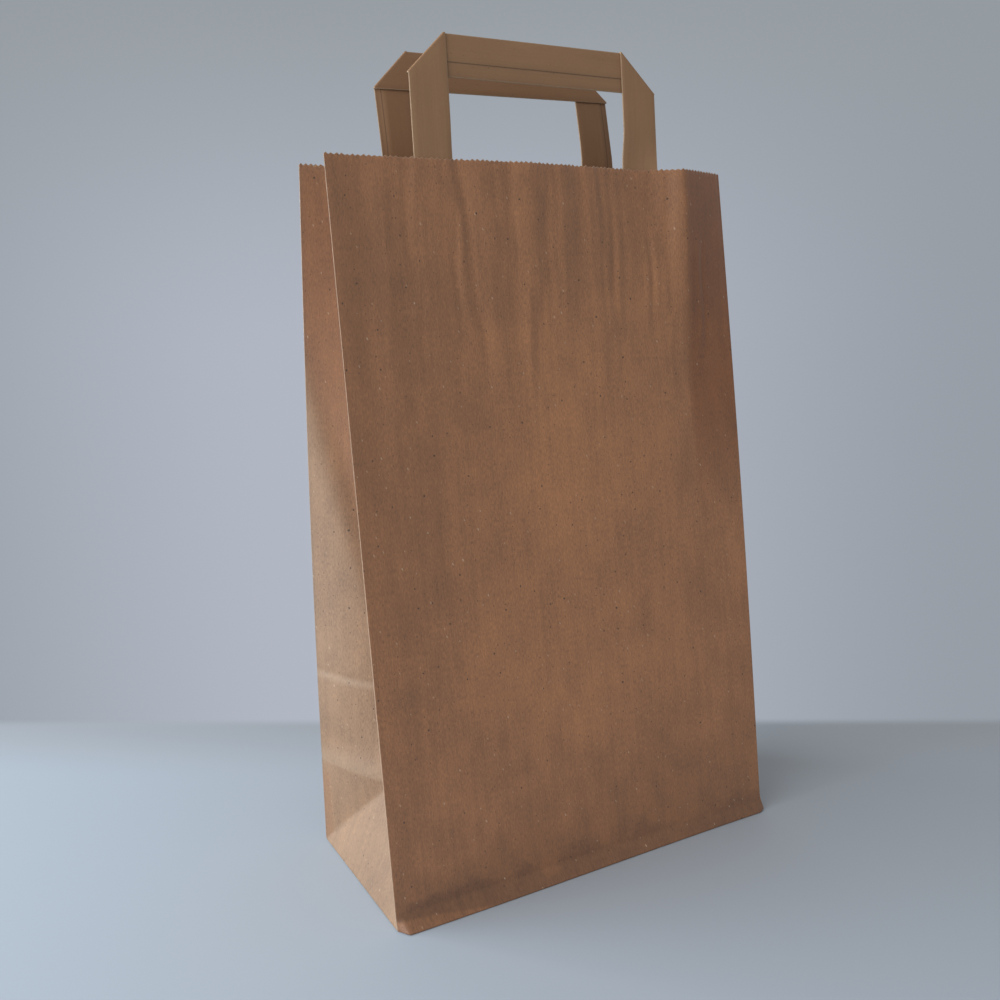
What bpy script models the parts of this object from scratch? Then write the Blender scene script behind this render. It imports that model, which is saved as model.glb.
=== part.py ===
"""A brown kraft paper carrier bag with flat folded-tape handles, standing open.

The bag is one sheet of paper: a front and a back panel, a gusset in each side, and a block
bottom with its two glued flaps. Its rim is saw cut. Two handles of folded paper tape go in at
the rim, each with its legs glued between a panel and a reinforcement patch.
X is the width, Y the depth with the front at -Y, and Z is up. The origin is the middle of the
base, on the table. Lengths are in metres.
"""

from math import asin, cos, exp, hypot, pi, radians, sin, sqrt, tan

import bmesh
import bpy
from mathutils import Vector

# The folded sheet
BAG_WIDTH = 0.220
BAG_DEPTH = 0.100
BAG_HEIGHT = 0.350
PAPER = 0.00016
FRONT_SETBACK = 0.037
BACK_SETBACK = 0.028

# Saw-cut rim
TOOTH_PITCH = 0.0025
TOOTH_DEPTH = 0.0009

# Glued lap that closes the tube, on the back panel
LAP_FROM_EDGE = 0.006
LAP_WIDTH = 0.018
LAP_STEP = 0.0003

# Block bottom
FLAP_OVERLAP = 0.020
FLAP_INSET = 0.0004

# Foot, where the panels turn under
FOOT_HEIGHT = 0.006
FOOT_FLARE_LEFT = 0.0065
FOOT_FLARE_RIGHT = 0.0022
BACK_FOOT_FLARE = 0.0015
FOOT_CORNER = 0.0035

# Soft shape of the panels
EDGE_BOW = 0.0016
RELIEF_FOOT = 0.235
RIDGE_RISE = 0.0095
RIDGE_FROM_EDGE = 0.030
RIDGE_SPREAD = 0.0115
BELLY_RISE = 0.0042
BELLY_CENTRE = -0.008
BELLY_SPREAD = 0.038
BACK_BELLY_RISE = 0.004
PUCKER_RISE = 0.00045
PUCKER_WAVE = 0.0165
GUSSET_SWELL = 0.0025
GUSSET_BULGE = 0.0045
BULGE_TOP = 0.225
BULGE_FALL = 0.132
BULGE_RAMP = 0.040
CREASE_DENT = 0.0006

# Handle tape
TAPE_WIDTH = 0.0195
TAPE_THICKNESS = 0.0007
TAPE_LAP = 0.00015
FOLD_GAP = 0.0001
FRONT_SEAM = 0.0070
BACK_SEAM = 0.0034

# Handles
HANDLE_WIDTH = 0.1346
FRONT_HANDLE_RISE = 0.056
BACK_HANDLE_RISE = 0.059
FRONT_HANDLE_LEAN = radians(-4.6)
BACK_HANDLE_LEAN = radians(11.0)
FRONT_HANDLE_SKEW = 0.016
BACK_HANDLE_SKEW = 0.002
BACK_HANDLE_TILT = 0.020
LEG_BURIED = 0.072
BEND_LENGTH = 0.010

# Reinforcement patches
PATCH_MARGIN = 0.010
PATCH_BELOW_LEG = 0.005
PATCH_BELOW_RIM = 0.003
PATCH_RAMP = 0.0030
EMBOSS = 0.0003

# Clearance between glued pieces, and mesh spacings
CLEARANCE = 0.0003
COARSE_COLUMN = 0.0125
FINE_COLUMN = 0.0058
COARSE_ROW = 0.028
FINE_ROW = 0.0135
RIM_BAND = 0.008
BASE_DIVISIONS = 4
FOLD_STEPS = 4
MERGE = 0.000001

# Worked out from the sizes above
HALF_WIDTH = BAG_WIDTH / 2
HALF_DEPTH = BAG_DEPTH / 2
BASE_LEVEL = 2.5 * PAPER
LEG_OUTER = HANDLE_WIDTH / 2
LEG_INNER = LEG_OUTER - TAPE_WIDTH
LEG_DEPTH = PAPER / 2 + CLEARANCE + TAPE_THICKNESS / 2
FOLD_RADIUS = TAPE_THICKNESS / 2 + TAPE_LAP + FOLD_GAP / 2
PATCH_ON_PANEL = PAPER + CLEARANCE
PATCH_ON_LEG = PAPER + 2 * CLEARANCE + TAPE_THICKNESS + TAPE_LAP
PATCH_HALF_WIDTH = LEG_OUTER + PATCH_MARGIN
LEG_FOOT = BAG_HEIGHT - LEG_BURIED
PATCH_FOOT = LEG_FOOT - PATCH_BELOW_LEG
PATCH_TOP = BAG_HEIGHT - PATCH_BELOW_RIM
VALLEY = BAG_HEIGHT - TOOTH_DEPTH

FRONT = -1
BACK = 1
LEFT = -1
RIGHT = 1

SETBACK = {FRONT: FRONT_SETBACK, BACK: BACK_SETBACK}
HANDLE_RISE = {FRONT: FRONT_HANDLE_RISE, BACK: BACK_HANDLE_RISE}
HANDLE_LEAN = {FRONT: FRONT_HANDLE_LEAN, BACK: BACK_HANDLE_LEAN}
HANDLE_SKEW = {FRONT: FRONT_HANDLE_SKEW, BACK: BACK_HANDLE_SKEW}
HANDLE_TILT = {FRONT: 0.0, BACK: BACK_HANDLE_TILT}
CREASE_ROW = {FRONT: BAG_DEPTH, BACK: HALF_DEPTH}
SEAM = {FRONT: FRONT_SEAM, BACK: BACK_SEAM}


def smooth(t):
    """0 below 0, 1 above 1, and an even S between."""
    t = min(max(t, 0.0), 1.0)
    return t * t * (3 - 2 * t)


def steps(start, end, spacing):
    """Evenly spaced values after start, up to and with end."""
    count = max(1, round((end - start) / spacing))
    return [start + (end - start) * i / count for i in range(1, count + 1)]


def through(keys, spacing):
    """Values that pass through every key, with the gaps between them divided."""
    values = [keys[0]]
    for start, end in zip(keys, keys[1:]):
        values += steps(start, end, spacing)
    return values


# The panels

def over_leg(x, ramp):
    """1 over a handle's leg, 0 away from it, with a ramp at each edge of the tape."""
    past_inner = smooth((abs(x) - LEG_INNER + ramp) / ramp)
    before_outer = smooth((LEG_OUTER + ramp - abs(x)) / ramp)
    return past_inner * before_outer


def puckers(x, v):
    """Upright wrinkles where the glued handles have drawn the paper in."""
    across = smooth((PATCH_HALF_WIDTH - abs(x)) / PATCH_MARGIN)
    up = smooth((v - RELIEF_FOOT) / (LEG_FOOT - RELIEF_FOOT))
    wave = sin(2 * pi * x / PUCKER_WAVE) + 0.5 * sin(2 * pi * x / (1.7 * PUCKER_WAVE) + 1.0)
    return PUCKER_RISE * wave * across * up


def foot_flare(face, x, v):
    """How far the foot of a panel stands ahead of it, below the crease at FOOT_HEIGHT."""
    along = smooth((x + HALF_WIDTH) / BAG_WIDTH)
    flare = BACK_FOOT_FLARE
    if face == FRONT:
        flare = FOOT_FLARE_LEFT + (FOOT_FLARE_RIGHT - FOOT_FLARE_LEFT) * along
    corner = min((HALF_WIDTH - abs(x)) / FOOT_CORNER, 1.0)
    return flare * corner * max(1 - v / FOOT_HEIGHT, 0.0)


def crease_dent(row, v):
    """How far the paper stands in along the row where the flattened bag's bottom was folded up."""
    return CREASE_DENT * max(1 - abs(v - row) / (HALF_DEPTH / BASE_DIVISIONS), 0.0)


def relief(face, x, v):
    """How far the panel stands out of the plane between its edges."""
    up = smooth((v - RELIEF_FOOT) / (BAG_HEIGHT - RELIEF_FOOT))
    glued = over_leg(x, PATCH_RAMP) * smooth((v - PATCH_FOOT) / (LEG_FOOT - PATCH_FOOT))
    shared = foot_flare(face, x, v) + puckers(x, v) + EMBOSS * glued
    shared -= crease_dent(CREASE_ROW[face], v)
    if face == BACK:
        return shared + BACK_BELLY_RISE * up * (1 - (x / HALF_WIDTH) ** 2)
    ridge = HALF_WIDTH - RIDGE_FROM_EDGE
    tent = (HALF_WIDTH - x) / RIDGE_FROM_EDGE
    if x < ridge:
        tent = exp(-((ridge - x) / RIDGE_SPREAD) ** 2)
    belly = exp(-((x - BELLY_CENTRE) / BELLY_SPREAD) ** 2) - exp(-(HALF_WIDTH / BELLY_SPREAD) ** 2)
    edge = smooth((HALF_WIDTH - abs(x)) / FOOT_CORNER)
    return shared + up * edge * (RIDGE_RISE * tent + BELLY_RISE * belly)


def panel_point(face, x, v, inward=0.0):
    """A point of a panel, v up its length, and inward from the middle of the paper."""
    slope = SETBACK[face] / BAG_HEIGHT
    level = BASE_LEVEL + v * cos(asin(slope))
    bow = 1.0
    if face == BACK or x > 0:
        bow += EDGE_BOW / HALF_WIDTH * sin(pi * v / BAG_HEIGHT)
    out = HALF_DEPTH - v * slope + relief(face, x, v) - inward
    return Vector((x * bow, face * out, level))


# The gussets

def crease_inset(side, v):
    """How far in the gusset's crease stands, for each half to keep its flat width."""
    front = panel_point(FRONT, side * HALF_WIDTH, v)
    back = panel_point(BACK, side * HALF_WIDTH, v)
    return sqrt(max(HALF_DEPTH ** 2 - ((back.y - front.y) / 2) ** 2, 0.0))


def gusset_crease(side, v):
    """The gusset's middle crease, which keeps its own length as it runs inward to the rim."""
    front = panel_point(FRONT, side * HALF_WIDTH, v)
    back = panel_point(BACK, side * HALF_WIDTH, v)
    apex_inset = crease_inset(side, HALF_DEPTH)
    run = (crease_inset(side, BAG_HEIGHT) - apex_inset) / (BAG_HEIGHT - HALF_DEPTH)
    rise = sqrt(HALF_DEPTH ** 2 - apex_inset ** 2) + (v - HALF_DEPTH) * sqrt(1 - run ** 2)
    x = front.lerp(back, 0.5).x - side * crease_inset(side, v)
    return Vector((x, (front.y + back.y) / 2, BASE_LEVEL + rise))


def gusset_bulge(t, v):
    """How far a gusset's rear half stands out below the soft bend that falls from its back edge."""
    bend = BULGE_TOP - BULGE_FALL * (2 - t)
    above_crease = smooth((v - HALF_DEPTH) / HALF_DEPTH)
    below_bend = smooth((bend - v) / BULGE_RAMP + 0.5)
    return GUSSET_BULGE * above_crease * below_bend * sin(pi * (t - 1))


def gusset_point(side, s, v):
    """A point of a gusset's flat paper, s from the front edge, v up from the base fold."""
    front = panel_point(FRONT, side * HALF_WIDTH, v)
    back = panel_point(BACK, side * HALF_WIDTH, v)
    if v >= HALF_DEPTH:
        middle = gusset_crease(side, v)
        t = s / HALF_DEPTH
        swell = GUSSET_SWELL * smooth((v - HALF_DEPTH) / (BAG_HEIGHT - HALF_DEPTH))
        if t <= 1:
            return front.lerp(middle, t)
        along = (back - middle).normalized()
        out = Vector((side * along.y, -side * along.x, 0)) * gusset_bulge(t, v)
        return middle.lerp(back, t - 1) + out + Vector((0, swell * sin(pi * (t - 1)), 0))
    apex = gusset_crease(side, HALF_DEPTH)
    rise = v / HALF_DEPTH
    front_corner = panel_point(FRONT, side * HALF_WIDTH, 0)
    back_corner = panel_point(BACK, side * HALF_WIDTH, 0)
    front_diagonal = front_corner.lerp(apex, rise)
    back_diagonal = back_corner.lerp(apex, rise)
    if s < v:
        return front.lerp(front_diagonal, s / v)
    if s > BAG_DEPTH - v:
        return back.lerp(back_diagonal, (BAG_DEPTH - s) / v)
    return front_diagonal.lerp(back_diagonal, (s - v) / (BAG_DEPTH - 2 * v))


def dented_gusset(side, s, v):
    """A gusset's point, with the crease at the depth of the base, where the flat bag was folded up."""
    inside = smooth(min(s, BAG_DEPTH - s) / (HALF_DEPTH / BASE_DIVISIONS))
    return gusset_point(side, s, v) - Vector((side * inside * crease_dent(BAG_DEPTH, v), 0, 0))


# The open surface of the sheet

def add_faces(mesh, corner_lists, flip):
    """Faces on lists of vertices, turned over for a surface that faces the other way."""
    for corners in corner_lists:
        mesh.faces.new(reversed(corners) if flip else corners)


def add_band(mesh, low, high, flip, fold=None):
    """Faces between two rows of (place, vertex) pairs, which may differ in number.

    Where fold is given, each four-sided face is split along the crease that leans to it.
    """
    i = j = 0
    while i < len(low) - 1 or j < len(high) - 1:
        next_low = low[i + 1][0] if i < len(low) - 1 else float("inf")
        next_high = high[j + 1][0] if j < len(high) - 1 else float("inf")
        if abs(next_low - next_high) < MERGE:
            a, b, c, d = low[i][1], low[i + 1][1], high[j + 1][1], high[j][1]
            if fold is None:
                corner_lists = [[a, b, c, d]]
            elif next_low < fold + MERGE:
                corner_lists = [[a, b, c], [a, c, d]]
            else:
                corner_lists = [[a, b, d], [b, c, d]]
            i += 1
            j += 1
        elif next_low < next_high:
            corner_lists = [[low[i][1], low[i + 1][1], high[j][1]]]
            i += 1
        else:
            corner_lists = [[low[i][1], high[j + 1][1], high[j][1]]]
            j += 1
        add_faces(mesh, corner_lists, flip)


def add_teeth(mesh, valleys, peak_at, flip):
    """One saw tooth on each pair of neighbouring valley vertices."""
    for (start, first), (end, second) in zip(valleys, valleys[1:]):
        peak = mesh.verts.new(peak_at((start + end) / 2))
        add_faces(mesh, [[first, second, peak]], flip)


def add_sheet(mesh, point_at, rows, places_at, flip, fold=None):
    """One panel or gusset: its rows of vertices, the bands between them and the teeth."""
    previous = None
    for v in rows:
        row = [(place, mesh.verts.new(point_at(place, v))) for place in places_at(v)]
        if previous:
            add_band(mesh, previous, row, flip, fold)
        previous = row
    add_teeth(mesh, previous, lambda place: point_at(place, BAG_HEIGHT), flip)


def lower_rows():
    """Heights below the gusset's apex, which its 45 degree creases also use as places."""
    divisions = [HALF_DEPTH * i / BASE_DIVISIONS for i in range(BASE_DIVISIONS + 1)]
    return sorted(divisions + [FOOT_HEIGHT])


def sheet_rows():
    """Every row of the sheet, from the base fold to the valleys of the rim."""
    keys = [BAG_DEPTH, RELIEF_FOOT, PATCH_FOOT]
    rows = lower_rows() + through([HALF_DEPTH] + keys, COARSE_ROW)[1:]
    return rows + through([PATCH_FOOT, LEG_FOOT, BAG_HEIGHT - RIM_BAND], FINE_ROW)[1:] + [VALLEY]


def rim_places(length):
    """Places of the rim's valleys along an edge."""
    count = round(length / TOOTH_PITCH)
    return [length * i / count for i in range(count + 1)]


def lap_places():
    """Where the glued lap starts and ends on the back panel, each with its narrow step."""
    start = HALF_WIDTH - LAP_FROM_EDGE - LAP_WIDTH
    end = HALF_WIDTH - LAP_FROM_EDGE
    return [start, start + LAP_STEP, end - LAP_STEP, end]


def panel_places(face, v):
    """Places across a panel at one row: coarse low down, fine by the handles, teeth at the rim."""
    half_keys = [FOOT_CORNER]
    if v > PATCH_FOOT - MERGE:
        edges = [LEG_INNER - PATCH_RAMP, LEG_INNER, LEG_OUTER, LEG_OUTER + PATCH_RAMP, PATCH_HALF_WIDTH]
        half_keys = [HALF_WIDTH - edge for edge in edges] + half_keys
    keys = {-HALF_WIDTH, HALF_WIDTH}
    for inset in half_keys:
        keys |= {inset - HALF_WIDTH, HALF_WIDTH - inset}
    if face == FRONT:
        keys.add(HALF_WIDTH - RIDGE_FROM_EDGE)
    else:
        keys.update(lap_places())
    if v > VALLEY - MERGE:
        teeth = [place - HALF_WIDTH for place in rim_places(BAG_WIDTH)]
        extra = lap_places() if face == BACK else []
        return sorted(teeth + extra)
    spacing = FINE_COLUMN if v > PATCH_FOOT - MERGE else COARSE_COLUMN
    return through(sorted(keys), spacing)


def gusset_places(v):
    """Places across a gusset: its creases' grid, or the teeth at the rim."""
    if v > VALLEY - MERGE:
        return rim_places(BAG_DEPTH)
    front_half = lower_rows()
    return front_half + [BAG_DEPTH - place for place in reversed(front_half[:-1])]


def sheet_mesh():
    """The whole bag as one open surface at the middle of the paper."""
    mesh = bmesh.new()
    rows = sheet_rows()
    for face in (FRONT, BACK):
        add_sheet(mesh, lambda x, v: panel_point(face, x, v), rows,
                  lambda v: panel_places(face, v), face == BACK)
    for side in (LEFT, RIGHT):
        add_sheet(mesh, lambda s, v: dented_gusset(side, s, v), rows, gusset_places,
                  side == LEFT, HALF_DEPTH)
    bmesh.ops.remove_doubles(mesh, verts=mesh.verts, dist=MERGE)
    foot = [edge for edge in mesh.edges if edge.is_boundary
            and all(vertex.co.z < BASE_LEVEL + MERGE for vertex in edge.verts)]
    bmesh.ops.contextual_create(mesh, geom=foot)
    bmesh.ops.recalc_face_normals(mesh, faces=mesh.faces)
    return mesh


# Objects, collections and materials

def new_collection(name):
    """An empty collection in the scene."""
    collection = bpy.data.collections.new(name)
    bpy.context.scene.collection.children.link(collection)
    return collection


def paper_material(name, colour, roughness):
    """Uncoated paper."""
    material = bpy.data.materials.new(name)
    material.use_nodes = True
    shader = material.node_tree.nodes["Principled BSDF"]
    shader.inputs["Base Color"].default_value = (*colour, 1.0)
    shader.inputs["Roughness"].default_value = roughness
    shader.inputs["Metallic"].default_value = 0.0
    return material


def new_object(name, mesh, collection, material):
    """An object made from a bmesh, which is freed."""
    data = bpy.data.meshes.new(name)
    mesh.to_mesh(data)
    mesh.free()
    data.materials.append(material)
    thing = bpy.data.objects.new(name, data)
    collection.objects.link(thing)
    return thing


def thicken(thing, thickness):
    """Give an open surface its paper thickness, half to each side."""
    solidify = thing.modifiers.new("paper", "SOLIDIFY")
    solidify.thickness = thickness
    solidify.offset = 0.0
    solidify.use_even_offset = True
    solidify.use_quality_normals = True
    return solidify


def lap_group(thing):
    """Mark the vertices of the glued lap, where the paper is two plies thick."""
    group = thing.vertex_groups.new(name="lap")
    start, inner_start, inner_end, end = lap_places()
    for vertex in thing.data.vertices:
        bow = 1 + EDGE_BOW / HALF_WIDTH * sin(pi * vertex.co.z / BAG_HEIGHT)
        x = vertex.co.x / bow
        on_back = vertex.co.y > 0 and vertex.co.z > BASE_LEVEL + MERGE
        if on_back and inner_start - MERGE * 50 < x < inner_end + MERGE * 50:
            group.add([vertex.index], 1.0, "REPLACE")
    return group


# Block bottom

def flap_outline(face):
    """Outline of one bottom flap: its fold along the foot, and 45 degree ends."""
    length = HALF_DEPTH + FLAP_OVERLAP / 2
    fold = []
    for x in panel_places(face, 0.0):
        x = min(max(x, FLAP_INSET - HALF_WIDTH), HALF_WIDTH - FLAP_INSET)
        out = HALF_DEPTH + foot_flare(face, x, 0.0) - FLAP_INSET
        fold.append((x, face * out))
    edge = face * (HALF_DEPTH - length)
    return fold + [(HALF_WIDTH - length, edge), (length - HALF_WIDTH, edge)]


def flap_plate(name, face, bottom, collection):
    """A bottom flap as a flat plate, from its underside up into the base sheet."""
    top = BASE_LEVEL - PAPER / 4
    curve = bpy.data.curves.new(name, "CURVE")
    curve.dimensions = "2D"
    curve.fill_mode = "BOTH"
    curve.extrude = (top - bottom) / 2
    outline = flap_outline(face)
    spline = curve.splines.new("POLY")
    spline.points.add(len(outline) - 1)
    for point, place in zip(spline.points, outline):
        point.co = (place[0], place[1], 0, 1)
    spline.use_cyclic_u = True
    shape = bpy.data.objects.new(name + "_outline", curve)
    shape.location.z = (top + bottom) / 2
    collection.objects.link(shape)
    bpy.context.view_layer.update()
    evaluated = shape.evaluated_get(bpy.context.evaluated_depsgraph_get())
    data = bpy.data.meshes.new_from_object(evaluated)
    mesh = bmesh.new()
    mesh.from_mesh(data)
    bmesh.ops.remove_doubles(mesh, verts=mesh.verts, dist=MERGE)
    mesh.to_mesh(data)
    mesh.free()
    plate = bpy.data.objects.new(name, data)
    plate.matrix_world = shape.matrix_world.copy()
    collection.objects.link(plate)
    bpy.data.objects.remove(shape)
    plate.hide_render = True
    plate.display_type = "WIRE"
    return plate


def join_flap(body, plate):
    """Glue a flap to the base."""
    union = body.modifiers.new(plate.name, "BOOLEAN")
    union.operation = "UNION"
    union.solver = "EXACT"
    union.object = plate


def make_bag_body(collection, cutters, material):
    """The folded sheet with its lap and block bottom."""
    body = new_object("bag_body", sheet_mesh(), collection, material)
    group = lap_group(body)
    plies = thicken(body, 2 * PAPER)
    plies.vertex_group = group.name
    plies.thickness_vertex_group = 0.5
    join_flap(body, flap_plate("front_flap", FRONT, PAPER, cutters))
    join_flap(body, flap_plate("back_flap", BACK, 0.0, cutters))
    return body


# Handles

def handle_point(face, x, h, inward):
    """A point of a handle, h above the rim along the tape, inward from the panel's middle."""
    if h <= 0:
        return panel_point(face, x, BAG_HEIGHT + h, inward)
    rim = panel_point(face, x, BAG_HEIGHT, inward)
    left = panel_point(face, -LEG_OUTER, BAG_HEIGHT, inward)
    right = panel_point(face, LEG_OUTER, BAG_HEIGHT, inward)
    chord = left.lerp(right, (x + LEG_OUTER) / HANDLE_WIDTH)
    base = rim.lerp(chord, smooth(h / (2 * BEND_LENGTH)))
    slope_below = -SETBACK[face] / BAG_HEIGHT
    slope_above = tan(HANDLE_LEAN[face])
    bend = min(h, BEND_LENGTH)
    out = slope_below * bend + (slope_above - slope_below) * bend ** 2 / (2 * BEND_LENGTH)
    out += slope_above * (h - bend)
    tilt = HANDLE_TILT[face] * x * smooth(h / BEND_LENGTH)
    up = h * cos(HANDLE_LEAN[face]) + tilt
    return base + Vector((HANDLE_SKEW[face] * h, face * out, up))


def tape_section(face, at, towards):
    """Points round the tape's section: plain outer side, then the side with the glued lap.

    at(u) gives the middle of the tape u of the way across, and towards(u) its lapped side.
    """
    seam = SEAM[face] / TAPE_WIDTH
    across = sorted({0.0, 0.25, 0.5, 0.75, 1.0, seam})
    half = TAPE_THICKNESS / 2
    plain = [at(u) - towards(u) * half for u in across]
    lapped = [at(u) + towards(u) * (half + TAPE_LAP) for u in reversed(across) if u >= seam]
    single = [at(u) + towards(u) * half for u in reversed(across) if u <= seam]
    return plain + lapped + single


def leg_rows():
    """Heights of the leg's sections, negative below the rim, up to where its fold starts."""
    buried = [v - BAG_HEIGHT for v in sheet_rows() if v > LEG_FOOT - MERGE and v < VALLEY - MERGE]
    return buried + [0.0, 0.004, 0.009, 0.015, 0.022, 0.030]


def leg_sections(face, side):
    """Sections of one leg, from its buried end up to its fold."""
    sections = []
    inward = Vector((0, -face, 0))
    rows = [h for h in leg_rows() if h < HANDLE_RISE[face] - TAPE_WIDTH - BEND_LENGTH / 4]
    for h in rows:
        def at(u, height=h):
            return handle_point(face, side * (LEG_OUTER - u * TAPE_WIDTH), height, LEG_DEPTH)
        sections.append(tape_section(face, at, lambda u: inward))
    return sections


def fold_sections(face, side):
    """Sections round the 45 degree fold, from the leg's layer in to the bar's layer."""
    sections = []
    inward = Vector((0, -face, 0))
    away = Vector((side, 0, 1)).normalized()
    foot = HANDLE_RISE[face] - TAPE_WIDTH
    for step in range(FOLD_STEPS + 1):
        angle = pi * step / FOLD_STEPS

        def at(u, turn=angle):
            x = side * (LEG_OUTER - u * TAPE_WIDTH)
            line = handle_point(face, x, foot + u * TAPE_WIDTH, LEG_DEPTH)
            return line + FOLD_RADIUS * ((1 - cos(turn)) * inward + sin(turn) * away)

        def towards(u, turn=angle):
            return cos(turn) * inward - sin(turn) * away

        sections.append(tape_section(face, at, towards))
    return sections


def bar_sections(face):
    """Sections of the bar between its two folds."""
    sections = []
    outward = Vector((0, face, 0))
    foot = HANDLE_RISE[face] - TAPE_WIDTH
    places = [-LEG_INNER + TAPE_WIDTH / 4] + steps(-LEG_INNER / 2, LEG_INNER / 2, LEG_INNER / 2)
    places = sorted(set(places + [-LEG_INNER / 2, LEG_INNER - TAPE_WIDTH / 4]))
    for x in places:
        def at(u, place=x):
            layer = LEG_DEPTH + 2 * FOLD_RADIUS
            return handle_point(face, place, foot + u * TAPE_WIDTH, layer)
        sections.append(tape_section(face, at, lambda u: outward))
    return sections


def loft(sections):
    """A closed solid through sections that all have the same number of points."""
    mesh = bmesh.new()
    rings = [[mesh.verts.new(point) for point in section] for section in sections]
    count = len(rings[0])
    for low, high in zip(rings, rings[1:]):
        for i in range(count):
            j = (i + 1) % count
            mesh.faces.new([low[i], low[j], high[j], high[i]])
    mesh.faces.new(list(reversed(rings[0])))
    mesh.faces.new(rings[-1])
    bmesh.ops.recalc_face_normals(mesh, faces=mesh.faces)
    return mesh


def make_handle(name, face, collection, material):
    """One handle: a leg, a fold, the bar, a fold and a leg, as one tape."""
    left = leg_sections(face, LEFT) + fold_sections(face, LEFT)
    right = leg_sections(face, RIGHT) + fold_sections(face, RIGHT)
    return new_object(name, loft(left + bar_sections(face) + right[::-1]), collection, material)


# Reinforcement patches

def make_patch(name, face, collection, material):
    """The paper glued over both legs inside a panel: it steps down beside each leg."""
    mesh = bmesh.new()
    rows = [v for v in sheet_rows() if PATCH_FOOT + MERGE < v < BAG_HEIGHT - RIM_BAND - MERGE]
    rows = [PATCH_FOOT] + rows + [BAG_HEIGHT - RIM_BAND, PATCH_TOP]
    places = [x for x in panel_places(face, PATCH_FOOT) if abs(x) < PATCH_HALF_WIDTH + MERGE]
    previous = None
    for v in rows:
        row = []
        for x in places:
            raised = over_leg(x, PATCH_RAMP) * smooth((v - PATCH_FOOT) / (LEG_FOOT - PATCH_FOOT))
            inward = PATCH_ON_PANEL + (PATCH_ON_LEG - PATCH_ON_PANEL) * raised
            row.append((x, mesh.verts.new(panel_point(face, x, v, inward))))
        if previous:
            add_band(mesh, previous, row, face == BACK)
        previous = row
    patch = new_object(name, mesh, collection, material)
    thicken(patch, PAPER)
    return patch


def main():
    """Build the bag from an empty scene."""
    for thing in list(bpy.data.objects):
        bpy.data.objects.remove(thing)
    pieces = new_collection("paper_carrier_bag")
    cutters = new_collection("bottom_flaps")
    kraft = paper_material("brown_kraft", (0.262, 0.130, 0.070), 0.86)
    tape = paper_material("handle_tape", (0.216, 0.118, 0.069), 0.82)
    patch = paper_material("patch_kraft", (0.250, 0.128, 0.072), 0.88)
    make_bag_body(pieces, cutters, kraft)
    for name, face in (("front", FRONT), ("back", BACK)):
        make_handle(name + "_handle", face, pieces, tape)
        make_patch(name + "_patch", face, pieces, patch)


main()
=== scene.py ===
"""Looks of a brown kraft paper carrier bag with folded-tape handles, standing open on a pale table.

The bag is one sheet of paper with two glued flaps under it. Two handles of folded paper tape are
glued in at the rim, each behind a reinforcement patch. Every piece is modelled on the sizes of the
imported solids, with finer folds, puckers, saw teeth and plies, and dressed in procedural paper.
Lengths are in metres, X is the width, -Y the front and Z is up.
"""

import logging
from dataclasses import dataclass, field
from enum import Enum
from math import asin, cos, pi, radians, sin, tan
from typing import Callable, Optional, Sequence, Union

import bpy
import numpy as np
from mathutils import Matrix, Vector


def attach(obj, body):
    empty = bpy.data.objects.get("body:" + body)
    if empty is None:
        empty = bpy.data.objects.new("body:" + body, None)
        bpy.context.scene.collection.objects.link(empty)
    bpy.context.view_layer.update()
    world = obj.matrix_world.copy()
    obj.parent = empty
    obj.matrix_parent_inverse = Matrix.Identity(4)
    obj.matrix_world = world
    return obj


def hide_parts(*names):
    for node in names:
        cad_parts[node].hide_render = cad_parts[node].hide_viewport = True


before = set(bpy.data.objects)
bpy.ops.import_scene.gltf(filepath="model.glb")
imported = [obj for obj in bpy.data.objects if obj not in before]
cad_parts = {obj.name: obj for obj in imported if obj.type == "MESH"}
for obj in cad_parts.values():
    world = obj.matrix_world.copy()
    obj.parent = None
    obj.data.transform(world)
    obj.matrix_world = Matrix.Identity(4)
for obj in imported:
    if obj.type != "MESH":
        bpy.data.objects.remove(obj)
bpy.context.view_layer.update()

LOG = logging.getLogger("carrier_bag")
FLAT_MAP = "paper_flat"
LAPPED_SIDE = 1.0
LAPPED_SHIFT = 1.01
BASE_FLAT = -0.06
FLAP_FLAT = -0.12
PATCH_FLAT = 0.7
TINY = 1e-6

Number = Union[float, np.ndarray]
Colour = tuple[float, float, float]


class Face(Enum):
    """The two large panels of the bag."""

    FRONT = -1
    BACK = 1


class Side(Enum):
    """The two narrow sides, each with a gusset."""

    LEFT = -1
    RIGHT = 1


def smooth(t: Number) -> Number:
    """0 below 0, 1 above 1, and an even S between."""
    t = np.clip(t, 0.0, 1.0)
    return t * t * (3 - 2 * t)


def bump(t: Number) -> Number:
    """A soft bell of height 1 at 0 that has died away by 2."""
    return np.exp(-(t * t))


def through(keys: Sequence[float], spacing: float) -> list[float]:
    """Values that pass through every key, with the gaps between them divided.

    Args:
        keys: Values in rising order that all have to be in the result.
        spacing: The gap to aim for between two values.

    Returns:
        The keys and the values between them, in rising order.
    """
    values = [keys[0]]
    for start, end in zip(keys, keys[1:]):
        count = max(1, round((end - start) / spacing))
        values += [start + (end - start) * i / count for i in range(1, count + 1)]
    return values


def points(x: Number, y: Number, z: Number) -> np.ndarray:
    """Coordinates of any shape as one array of points."""
    return np.stack(np.broadcast_arrays(x, y, z), axis=-1).astype(float)


def between(a: np.ndarray, b: np.ndarray, t: Number) -> np.ndarray:
    """Points a share t of the way from a to b."""
    return a + (b - a) * np.asarray(t, float)[..., None]


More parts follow.
